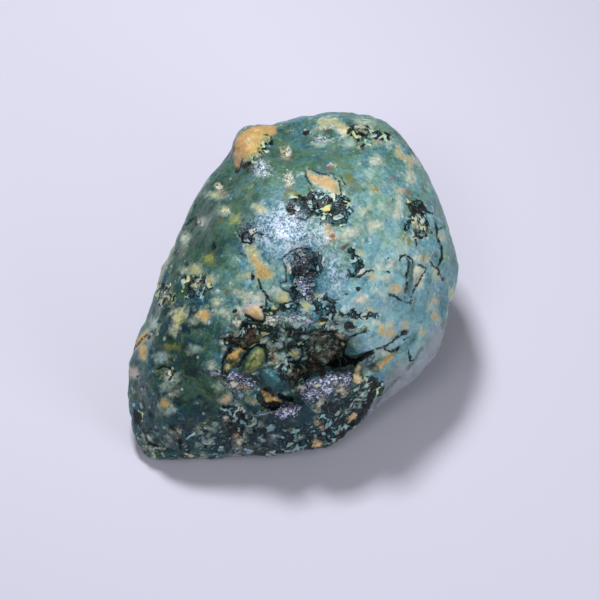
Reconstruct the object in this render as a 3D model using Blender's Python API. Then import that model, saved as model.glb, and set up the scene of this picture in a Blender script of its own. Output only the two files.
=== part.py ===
"""A moss agate nodule: one solid, water-worn stone that lies on its flattest side.

The stone is first shaped looking square at its show face, in millimetres: s runs to the right, t runs up
and c comes out of the face. A ball of quads is swelled into the face's outline, gets its lumps, hollows
and cracks, and is then laid down on its resting side, with +Z up and its length along X.
"""

import math

import bmesh
import bpy
from mathutils import Matrix, Vector, noise

MM = 0.001

# --- The body, square to the show face (mm) ---
OUTLINE = (  # the stone's outline, counter-clockwise from the right-hand end of the face
    (16.8, 1.0), (16.4, 4.0), (15.6, 7.5), (14.3, 11.0), (12.5, 14.0), (10.3, 16.3), (7.9, 17.6),
    (5.5, 18.1), (2.4, 17.9), (-0.8, 17.1), (-3.6, 15.6), (-5.8, 13.6), (-7.4, 12.2), (-9.1, 10.3),
    (-10.8, 7.2), (-12.1, 4.0), (-13.4, 0.6), (-14.8, -2.8), (-16.3, -6.6), (-16.4, -9.0),
    (-16.1, -12.5), (-15.2, -15.6), (-13.9, -17.0), (-10.0, -17.3), (-6.0, -17.1), (-2.5, -16.7),
    (1.0, -16.2), (4.2, -15.6), (6.4, -14.1), (9.0, -11.5), (11.7, -9.2), (13.8, -7.0), (15.5, -4.3),
    (16.5, -1.6),
)
FACE_RISE = 11.0  # how far the show face stands out from the middle of the stone
BACK_DEPTH = 12.0  # how far the back goes the other way
UPPER_LEAN = 0.34  # how fast the upper half leans back from the show face
LEAN_START = 5.0  # the stretch, about t = 0, over which that lean sets in
SHARP_RIM_ANGLE = math.radians(215)  # where the rim is thinnest: the lower left
SHARP_RIM = 0.55  # how far the thin rim departs from a round one

# --- How it lies ---
FACE_ELEVATION = math.radians(52)  # the show face looks up at this angle
TURN = math.radians(-52)  # turns the stone's length onto X
UNDERSIDE_TOP = 7.0  # below this height over the lowest point the underside is flattened
UNDERSIDE_SLOPE = 0.28  # what is left of the belly's slope at its lowest point
REST_CUT = 0.5  # how much is worn off where it rests

# --- The mesh ---
QUADS_A_SIDE = 28  # along each side of the cube that the ball is made from
CROWDING = Vector((0.06, -0.16, 0.3))  # which way, and how far, the quads are drawn: to the hollow in the face
WELD = 0.05  # points left nearer than this by the resting cut are joined

# --- Lumps and pits on the show face: middle (s, t), half sizes, turn in degrees, rise, softness ---
LUMPS = {
    "crown": ((-1.2, 6.8), (6.0, 4.6), 25, 1.0, 0.9),
    "upper_slope": ((0.5, 14.0), (5.5, 2.4), 5, -0.7, 0.9),
    "left_slope": ((-9.5, 2.0), (3.0, 8.0), 25, -0.6, 0.9),
    "right_shoulder": ((9.0, 4.5), (4.5, 6.0), 10, 0.8, 0.9),
    "olive_pit": ((-5.6, 7.6), (1.3, 0.8), 60, -0.6, 0.7),
    "pit_by_knob": ((-0.6, 13.6), (0.8, 0.7), 20, -0.5, 0.7),
    "pit_below_it": ((-0.1, 11.2), (1.0, 0.7), 10, -0.5, 0.7),
    "left_pit": ((-7.0, 10.6), (0.8, 0.9), 0, -0.5, 0.7),
    "small_pit": ((3.4, 12.6), (0.6, 0.4), 0, -0.3, 0.7),
    "swell_by_knob": ((-2.8, 12.4), (1.3, 1.0), -20, 0.45, 0.8),
    "black_vug": ((1.5, 2.2), (1.5, 1.9), 10, -0.9, 0.5),
    "vug_tail": ((2.2, -0.9), (1.0, 1.6), 15, -0.45, 0.7),
    "upper_vug": ((3.6, 8.6), (2.4, 1.0), -15, -0.5, 0.6),
    "right_hook": ((6.0, 1.6), (0.8, 1.6), 20, -0.35, 0.7),
    "main_hollow": ((3.7, -6.4), (3.1, 1.7), 12, -3.2, 0.35),
    "hollow_left": ((-0.6, -6.0), (2.9, 1.6), -8, -1.2, 0.5),
    "hanging_lip": ((7.9, -5.0), (2.5, 1.5), 18, 0.9, 0.6),
    "olive_lobe": ((-3.6, -6.6), (0.9, 1.6), -32, 0.6, 0.7),
    "dark_boulder": ((-1.2, -9.3), (1.5, 1.3), 0, 1.1, 0.7),
    "sparkling_shelf": ((4.0, -9.7), (3.2, 0.9), 8, 1.0, 0.6),
    "second_shelf": ((-0.4, -12.1), (1.8, 0.6), 8, 0.6, 0.7),
    "lower_lip": ((0.5, -14.0), (4.8, 1.3), 4, 0.5, 0.8),
    "left_dip": ((-8.0, -9.6), (4.6, 4.4), 0, -0.8, 0.9),
    "ring_pit": ((-10.1, -7.9), (0.9, 0.8), 0, -0.4, 0.6),
    "rim_notch": ((-4.0, -14.0), (0.8, 1.6), 10, -0.5, 0.6),
    "corner_chip": ((-12.6, -15.0), (1.8, 0.8), 20, -0.7, 0.6),
    "top_ledge": ((4.8, 16.0), (4.6, 0.8), -4, 0.5, 0.6),
    "right_flank_flat": ((12.0, -4.5), (2.4, 4.6), -40, -0.7, 0.9),
}
# --- Cracks and steps: points (s, t), half width, depth ---
CRACKS = {
    "lip_crack": (((4.6, -7.6), (6.6, -7.6), (8.6, -6.4), (10.4, -5.3), (11.6, -4.2)), 0.55, 1.3),
    "boulder_crack": (((-3.0, -9.6), (-1.9, -10.5), (-0.9, -11.0), (0.4, -11.1)), 0.5, 1.1),
    "boulder_side": (((2.2, -8.0), (0.6, -9.2), (-0.1, -10.0), (0.2, -11.1)), 0.6, 1.2),
    "top_crease": (((-0.5, 15.6), (2.6, 15.5), (5.4, 15.0), (8.6, 14.6), (10.6, 13.4)), 0.6, 0.55),
    "crown_trough": (((0.2, 10.4), (-2.4, 9.6), (-4.2, 8.0), (-5.2, 5.4), (-5.0, 3.2)), 0.8, 0.55),
    "left_step": (((-3.6, -3.4), (-2.9, -5.2), (-5.0, -7.4), (-4.8, -9.0)), 0.45, 0.6),
}

# --- The ochre knob on the upper left edge, and the lumpiness of the whole stone ---
KNOB_MIDDLE = (-3.5, 14.4)
KNOB_REACH = 2.5
KNOB_RISE = Vector((-1.1, 1.2, 1.5))  # how far, and which way, the knob's top is drawn out
GRAIN = (  # size of a lump, and its height, coarse to fine
    (9.0, 0.75),
    (4.0, 0.32),
    (1.9, 0.14),
)
GRAIN_SHIFT = Vector((41.3, 7.7, 19.1))
BACK_FORMS = {  # on the hidden side: direction from the middle (s, t, c), half width, rise
    "far_hollow": (Vector((0.35, 0.75, -0.45)), 4.2, -1.0),
    "right_hollow": (Vector((0.9, -0.1, -0.5)), 3.6, -0.8),
    "left_hollow": (Vector((-0.75, 0.35, -0.55)), 4.0, -0.9),
    "under_hollow": (Vector((-0.62, -0.6, -0.5)), 4.4, -1.4),
    "under_swell": (Vector((0.2, -0.3, -0.93)), 5.0, 0.9),
}

STONE_COLOUR = (0.15, 0.25, 0.22, 1.0)  # linear: a grey-green


def clear_scene():
    for thing in list(bpy.data.objects):
        bpy.data.objects.remove(thing)


def smooth_step(low, high, x):
    x = min(1.0, max(0.0, (x - low) / (high - low)))
    return x * x * (3 - 2 * x)


def outline_reach(angle):
    """How far the outline is from the middle of the face in this direction, by a smooth closed curve."""
    stations = OUTLINE_STATIONS
    count = len(stations)
    turn = angle % math.tau
    right = next((i for i, (a, _) in enumerate(stations) if a > turn), count)
    picked = []
    for k in range(right - 2, right + 2):
        a, r = stations[k % count]
        picked.append((a + math.tau * (k // count), r))
    (a0, r0), (a1, r1), (a2, r2), (a3, r3) = picked
    u = (turn - a1) / (a2 - a1)
    slope_in = (r2 - r0) / (a2 - a0) * (a2 - a1)
    slope_out = (r3 - r1) / (a3 - a1) * (a2 - a1)
    return (
        (2 * u**3 - 3 * u**2 + 1) * r1
        + (u**3 - 2 * u**2 + u) * slope_in
        + (3 * u**2 - 2 * u**3) * r2
        + (u**3 - u**2) * slope_out
    )


OUTLINE_STATIONS = sorted((math.atan2(t, s) % math.tau, math.hypot(s, t)) for s, t in OUTLINE)


def body_point(direction):
    """Where a point of the unit ball goes on the plain body, before its lumps: (s, t, c) in mm."""
    across = math.hypot(direction.x, direction.y)
    angle = math.atan2(direction.y, direction.x)
    reach = outline_reach(angle) * across
    s = reach * math.cos(angle)
    t = reach * math.sin(angle)
    thinness = SHARP_RIM * (0.5 + 0.5 * math.cos(angle - SHARP_RIM_ANGLE))
    rise = abs(direction.z) ** (1 + thinness)
    c = rise * (FACE_RISE if direction.z > 0 else -BACK_DEPTH)
    lean = UPPER_LEAN * LEAN_START * math.log1p(math.exp(t / LEAN_START))
    return Vector((s, t, c - lean))


def lump_share(place, middle, half_sizes, turn, softness):
    """1 in the middle of a lump or pit, falling to 0 across its edge."""
    turned = Matrix.Rotation(-math.radians(turn), 2) @ (Vector(place) - Vector(middle))
    out = math.hypot(turned.x / half_sizes[0], turned.y / half_sizes[1])
    return 1 - smooth_step(1 - softness, 1 + softness, out)


def distance_to_path(place, points):
    nearest = math.inf
    for start, end in zip(points, points[1:]):
        along = Vector(end) - Vector(start)
        share = (Vector(place) - Vector(start)).dot(along) / along.length_squared
        foot = Vector(start) + along * min(1.0, max(0.0, share))
        nearest = min(nearest, (Vector(place) - foot).length)
    return nearest


def face_relief(s, t):
    """How far the show face stands out, or is sunk, at this place."""
    rise = 0.0
    for middle, half_sizes, turn, height, softness in LUMPS.values():
        rise += height * lump_share((s, t), middle, half_sizes, turn, softness)
    for points, half_width, depth in CRACKS.values():
        rise -= depth * (1 - smooth_step(0.2, 2.0, distance_to_path((s, t), points) / half_width))
    return rise


def lumpiness(point, size):
    return noise.noise(point / size + GRAIN_SHIFT)


def shape_point(direction):
    """The finished place of a point of the unit ball, square to the show face, in mm."""
    point = body_point(direction)
    outward = Vector((point.x, point.y, 1.4 * direction.z * FACE_RISE)).normalized()
    facing = smooth_step(0.0, 0.35, direction.z)
    relief = facing * face_relief(point.x, point.y)
    away = math.hypot(point.x - KNOB_MIDDLE[0], point.y - KNOB_MIDDLE[1]) / KNOB_REACH
    knob = max(0.0, 1 - away**2) ** 0.7 * smooth_step(-0.3, 0.15, direction.z)
    swell = sum(height * lumpiness(point, size) for size, height in GRAIN)
    for aim, half_width, height in BACK_FORMS.values():
        off = math.acos(min(1.0, direction.dot(aim.normalized()))) * FACE_RISE
        swell += height * (1 - smooth_step(0.0, 1.6, off / half_width))
    return point + outward * swell + Vector((0, 0, relief)) + KNOB_RISE * knob


def add_ball(form):
    """A unit ball of quads, drawn together on the side of the show face (+Z here)."""
    bmesh.ops.create_cube(form, size=2)
    bmesh.ops.subdivide_edges(
        form, edges=form.edges[:], cuts=QUADS_A_SIDE - 1, use_grid_fill=True
    )
    for vertex in form.verts:
        even = Vector([math.tan(x * math.pi / 4) for x in vertex.co])
        vertex.co = (even.normalized() + CROWDING).normalized()


def lay_down(form):
    """Turns the stone from square-on to lying, flattens its underside and cuts the face that it rests on."""
    tip = Matrix.Rotation(math.pi / 2 - FACE_ELEVATION, 3, "X")
    turn = Matrix.Rotation(TURN, 3, "Z")
    bmesh.ops.transform(form, matrix=(turn @ tip).to_4x4(), verts=form.verts)
    lowest = min(vertex.co.z for vertex in form.verts)
    for vertex in form.verts:
        height = vertex.co.z - lowest
        if height < UNDERSIDE_TOP:
            depth_share = 1 - height / UNDERSIDE_TOP
            vertex.co.z += (1 - UNDERSIDE_SLOPE) * UNDERSIDE_TOP / 2 * depth_share**2
    floor = min(vertex.co.z for vertex in form.verts) + REST_CUT
    bmesh.ops.bisect_plane(
        form,
        geom=form.verts[:] + form.edges[:] + form.faces[:],
        dist=WELD,
        plane_co=(0, 0, floor),
        plane_no=(0, 0, -1),
        clear_outer=True,
    )
    rim = [edge for edge in form.edges if edge.is_boundary]
    bmesh.ops.edgeloop_fill(form, edges=rim)
    bmesh.ops.remove_doubles(form, verts=form.verts, dist=WELD)


def set_origin(form):
    """Puts the middle of the stone's box, at the height of the resting face, at the origin."""
    low = Vector([min(vertex.co[axis] for vertex in form.verts) for axis in range(3)])
    high = Vector([max(vertex.co[axis] for vertex in form.verts) for axis in range(3)])
    middle = (low + high) / 2
    bmesh.ops.translate(form, vec=(-middle.x, -middle.y, -low.z), verts=form.verts)


def stone_material():
    material = bpy.data.materials.new("green_chalcedony")
    material.use_nodes = True
    shader = material.node_tree.nodes["Principled BSDF"]
    shader.inputs["Base Color"].default_value = STONE_COLOUR
    shader.inputs["Roughness"].default_value = 0.35
    shader.inputs["Metallic"].default_value = 0.0
    return material


def make_stone():
    form = bmesh.new()
    add_ball(form)
    for vertex in form.verts:
        vertex.co = shape_point(vertex.co.copy())
    lay_down(form)
    set_origin(form)
    bmesh.ops.scale(form, vec=(MM, MM, MM), verts=form.verts)
    bmesh.ops.triangulate(form, faces=form.faces[:])
    bmesh.ops.recalc_face_normals(form, faces=form.faces[:])
    mesh = bpy.data.meshes.new("nodule")
    form.to_mesh(mesh)
    form.free()
    mesh.shade_smooth()
    mesh.materials.append(stone_material())
    stone = bpy.data.objects.new("nodule", mesh)
    bpy.context.scene.collection.objects.link(stone)


clear_scene()
make_stone()
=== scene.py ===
"""Moss agate specimen: the look of a water-worn nodule of green chalcedony.

The CAD solid is copied, rounded and cut finer, then given its pits, cracks and crystal grain.
Marks are laid on the show face by name and place, in millimetres: across and up the face as it is
looked at, from its middle. The rest of the stone carries the same kinds of mark by noise alone.
"""

import functools
import math

import bmesh
import bpy
import numpy as np
from mathutils import Matrix, Vector, noise


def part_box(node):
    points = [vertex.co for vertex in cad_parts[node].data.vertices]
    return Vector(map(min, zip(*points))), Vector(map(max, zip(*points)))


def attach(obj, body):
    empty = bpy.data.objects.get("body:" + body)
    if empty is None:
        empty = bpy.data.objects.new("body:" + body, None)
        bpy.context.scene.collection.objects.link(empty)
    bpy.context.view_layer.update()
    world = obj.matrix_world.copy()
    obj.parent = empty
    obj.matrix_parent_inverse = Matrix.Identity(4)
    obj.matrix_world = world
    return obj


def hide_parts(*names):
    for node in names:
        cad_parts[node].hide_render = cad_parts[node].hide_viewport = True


MM = 0.001

# The show face leans back from upright and is turned about the vertical, as it lies at rest.
# FACE_MIDDLE is the place inside the stone, behind the middle of the face, in mm from the origin.
# The face is looked at from VIEW_DISTANCE in front of it, and VIEW_OFF_MIDDLE across and up from it.
FACE_ELEVATION = math.radians(52.0)
FACE_TURN = math.radians(-52.0)
FACE_MIDDLE = Vector((-0.03, 0.382, 10.572))
VIEW_DISTANCE = 220.0
VIEW_OFF_MIDDLE = (1.0, -1.0)
SENSOR_WIDTH = 36.0
LENS = 132.0

# The finished mesh. Points nearer than MERGE_DISTANCE are one, and triangles that meet at less than
# JOIN_ANGLE are joined. Faces whose normal has more than SHOWN_LEAN of the show face's own are cut
# finer. The whole is then smoothed, and thinned so that it stays under 200,000 triangles.
MERGE_DISTANCE = 0.001 * MM
JOIN_ANGLE = math.radians(60.0)
SHOWN_LEAN = -0.05
SHOW_CUTS = 2
SMOOTH_ROUNDS = 3
KEPT_FACES = 0.84

# Where the show face fades into the rest, by how squarely a point faces the viewer. Off it, marks
# lie OFF_FACE_SHORT mm short of showing, and the skin is darker by OFF_FACE_TONE.
RELIEF_FADES = (-0.02, 0.15)
MARKS_FADE = (-0.04, 0.10)
OFF_FACE_SHORT = 2.0
OFF_FACE_TONE = -0.15

# Where grounds set in, in mm from their outlines, from outside (below 0) to inside: as colour, and
# then as relief. Crust under the least share has no grains.
LACE_EDGE = (-0.60, 0.40)
CRUST_EDGE = (-0.80, 0.60)
BASIN_EDGE = (-0.1, 0.5)
FLANK_EDGE = (-1.2, 0.6)
LACE_RISES = (-0.3, 0.4)
CRUST_RISES = (-0.2, 0.3)
CRUST_LEAST = 0.05
BASIN_SINKS = (-0.15, 0.8)
WALL_RISES = (-0.6, 0.2)

# How far noise moves the marks' edges and the relief, in mm, and the sizes of its lumps. A spot is
# ragged by a share of its size, and so is a spot of ink. A line of ink is drawn a little thinner
# than its width says.
EDGE_WANDER = 0.09
WANDER_SIZE = 0.70
EDGE_TREMBLE = 0.05
TREMBLE_SIZE = 0.25
RAGS_SIZE = 0.45
SPOT_WANDER = 0.30
SPOT_RAGGED = 0.85
SPOT_SHARE = 0.7
INK_RAGGED = 0.5
INK_THINNED = 0.72
INK_TREMBLE = 0.05
RELIEF_WANDER = 0.12
RELIEF_WANDER_SIZE = 0.8

# Relief by noise, in mm: worn lumps, the frilled lower rim, lumps in the lace, small pocks, and the
# crystal grain of the hollow's broken wall and of the crust. Each is a height and a size, and the
# small lumps have the number of their noise after them.
WORN_LUMPS = (0.17, 2.6)
SMALL_LUMPS = [(0.08, 1.1, 2), (0.022, 0.45, 3)]
RIM_FRILL = (0.20, 0.9)
RIM_BAND = (12.0, 15.5)  # below the face's middle, where the frill sets in
LACE_LUMPS = (0.06, 0.55)
POCKS = (0.20, 1.3)
POCK_EDGE = (0.28, 0.60)  # how high their noise is at a pock's edge and in its floor
WALL_GRAIN = (0.06, 0.7)
CRUST_GRAIN = (0.10, 0.42)
GRAIN_SLOPE = 2.0
GRAINS_APART = 37.0  # between the places where neighbouring grains look up how they lean
SEED_STEP = Vector((7.3, 3.1, 5.7))  # between the places where noises with other seeds are read
CALMING = 0.65  # how much of the finer relief and mottle the calm places lose
RESTING_EDGE = (0.02, 0.5)  # the height over which relief sets in above the resting face

# How soft the ovals and the cracks are.
RELIEF_SPREAD = 1.7
DRIFT_FADE = 1.2
CRACK_FADE = 2.2

FLOOR_HALF = 0.75  # in metres

# Colours of the stone, each named for the mineral or stain that gives it.
COLOURS = {
    "amber": "#c79c5c",      # iron-stained chalcedony, deep
    "honey": "#c8a45f",      # the same, thinner
    "clay": "#a59c62",       # pale yellow clay in chalcedony
    "apricot": "#cfa970",    # the same, milky
    "buff": "#e2cda2",       # the same, nearly opaque
    "peach": "#cfb087",      # carnelian tint
    "straw": "#b9b47c",      # yellow clay in the skin
    "cream": "#c2c4ae",      # opaque white chalcedony
    "bone": "#afbcb4",       # greenish white
    "blush": "#c4b2aa",      # pinkish white
    "rust": "#8f5a36",       # iron oxide
    "umber": "#4e3a2c",      # brown manganese stain
    "olive": "#71763c",      # celadonite with yellow
    "moss": "#8b9147",       # yellow-green moss near the skin
    "fern_and_shade": "#38574a",       # dark green moss, and painted shade down the crown's trough
    "mint": "#98b8ae",       # pale green chalcedony
    "sky": "#8fa9b8",        # bluish skin on an edge
    "deep": "#173a40",       # blue-green, glassy
    "teal": "#28585d",       # painted bluish sheen and glints on edges and lumps
    "lilac": "#b5b2c8",      # fine quartz crust
    "bark": "#7c7262",       # brown stain in the hollow
    "slate": "#444d55",      # worn grey streaks
    "sage": "#a9b8a4",       # grey-green in the hollow
}

LACE_BLACK = "#0c1213"
HALOED = ("honey", "clay", "apricot", "peach", "straw", "cream", "bone", "blush", "mint", "sky")


# ------------------------------------------------------------------------------------------
# Marks on the show face. Every place is (across, up) in mm; an oval is (across, up, half
# width, half height, tilt in degrees where it is tilted). A later mark lies over an earlier one.
# ------------------------------------------------------------------------------------------

PATCHES = [
    ("amber", [(-5.4, 15.3), (-4.8, 15.8), (-3.7, 16.4), (-2.5, 16.6), (-1.2, 16.4), (-1.3, 15.9),
        (-2, 15.2), (-2.4, 14.7), (-2.5, 14), (-2.9, 13.5), (-3.9, 13.1), (-4.4, 13), (-5, 12.4),
        (-5.3, 12.1), (-5.6, 12.7), (-5.7, 13.5), (-5.5, 14.5)]),
    ("honey", [(-4.4, 15.2), (-3.4, 15.9), (-2.2, 16.1), (-1.7, 15.8), (-2.5, 14.6), (-3, 13.8), (-4, 13.6),
        (-4.4, 14.2)]),
    ("clay", [(-2.9, 15), (-1.9, 15.5), (-2.4, 14.7), (-2.6, 13.9), (-3.4, 13.4), (-4.2, 13), (-5, 12.5),
        (-4.5, 13.4), (-3.3, 13.9)]),
    ("apricot", [(1.75, 11.6), (1.8, 12), (2.1, 11.6), (2.9, 11.4), (3.9, 11.4), (4.5, 10.9), (4.9, 10.4),
        (4.95, 9.4), (4.7, 9.2), (4.2, 9.6), (3.9, 10.1), (3.5, 9.9), (3.1, 10.4), (2.7, 10.3), (2.3, 10.6),
        (2, 11.1)]),
    ("blush", [(-4.7, -1.9), (-4.1, -1.2), (-3, -1.1), (-2.7, -1.7), (-3.3, -2.2), (-4.2, -2.2)]),
    ("apricot", [(-4.6, -2.4), (-4.2, -2), (-3.4, -1.7), (-2.9, -1.8), (-2.7, -2.4), (-2.9, -3),
        (-3.6, -2.8)]),
    ("straw", [(-4.5, 4.4), (-3.5, 4.4), (-3.2, 3.7), (-3, 3), (-2.3, 2.4), (-1.6, 1.7), (-1.8, 1.1),
        (-2.9, 0.9), (-3.6, 1.3), (-3.5, 2.1), (-4, 2.8), (-4.3, 3.6)]),
    ("honey", [(-3.9, 3.6), (-3.4, 3.3), (-2.9, 2.6), (-2.3, 2.1), (-1.9, 1.4), (-2.8, 1.2), (-3.3, 1.5),
        (-3.4, 2.3)]),
    ("amber", [(9.9, -6.2), (10.4, -6.3), (10.3, -6.8), (9.9, -7.2), (9.3, -7.7), (8.9, -8), (8.4, -8),
        (8.5, -7.5), (9.1, -7.2), (9.5, -6.7)]),
    ("peach", [(-7, -11.1), (-6.4, -10.6), (-6, -10.3), (-5.9, -10.8), (-6.4, -11.4)]),
    ("bone", [(9, -5.9), (9.6, -6), (9.5, -6.5), (9, -6.6)]),
    ("straw", [(12.3, 6.6), (13, 6.4), (13.6, 6), (13.8, 5.6), (13.5, 5.4), (12.8, 5.9), (12.4, 6.2)]),
    ("fern_and_shade", [(11.9, 2.8), (12.5, 2.6), (12.6, 1.6), (12.2, 0.6), (12, -0.8), (11.6, -0.4), (11.7, 1.2)]),
    ("cream", [(12.5, 2.5), (13.5, 2.2), (13.1, 1.4), (12.6, 0.5), (12.4, 1.4)]),
    ("cream", [(-5.4, -14.6), (-5, -14.1), (-4.6, -14.3), (-4.5, -14.9), (-5.2, -15.7), (-5.6, -15.4)]),
    ("peach", [(2.4, -15.1), (3.3, -14.6), (3.2, -15.4), (2.6, -16.1), (2, -16.2)]),
    ("honey", [(-14.2, -4), (-14, -4.8), (-14.8, -5.3), (-15.8, -6.2), (-16.3, -6.9), (-15.8, -5.6),
        (-14.9, -4.5)]),
    ("honey", [(-15.1, -5.4), (-14.4, -5.6), (-14.4, -6.9), (-15, -6.8)]),
    ("blush", [(-16.2, -7.7), (-15.4, -7.9), (-15.1, -8.6), (-15.9, -8.8)]),
    ("cream", [(-11.9, -14.2), (-11.2, -13.8), (-11, -14.2), (-11.3, -14.6)]),
]

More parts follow.
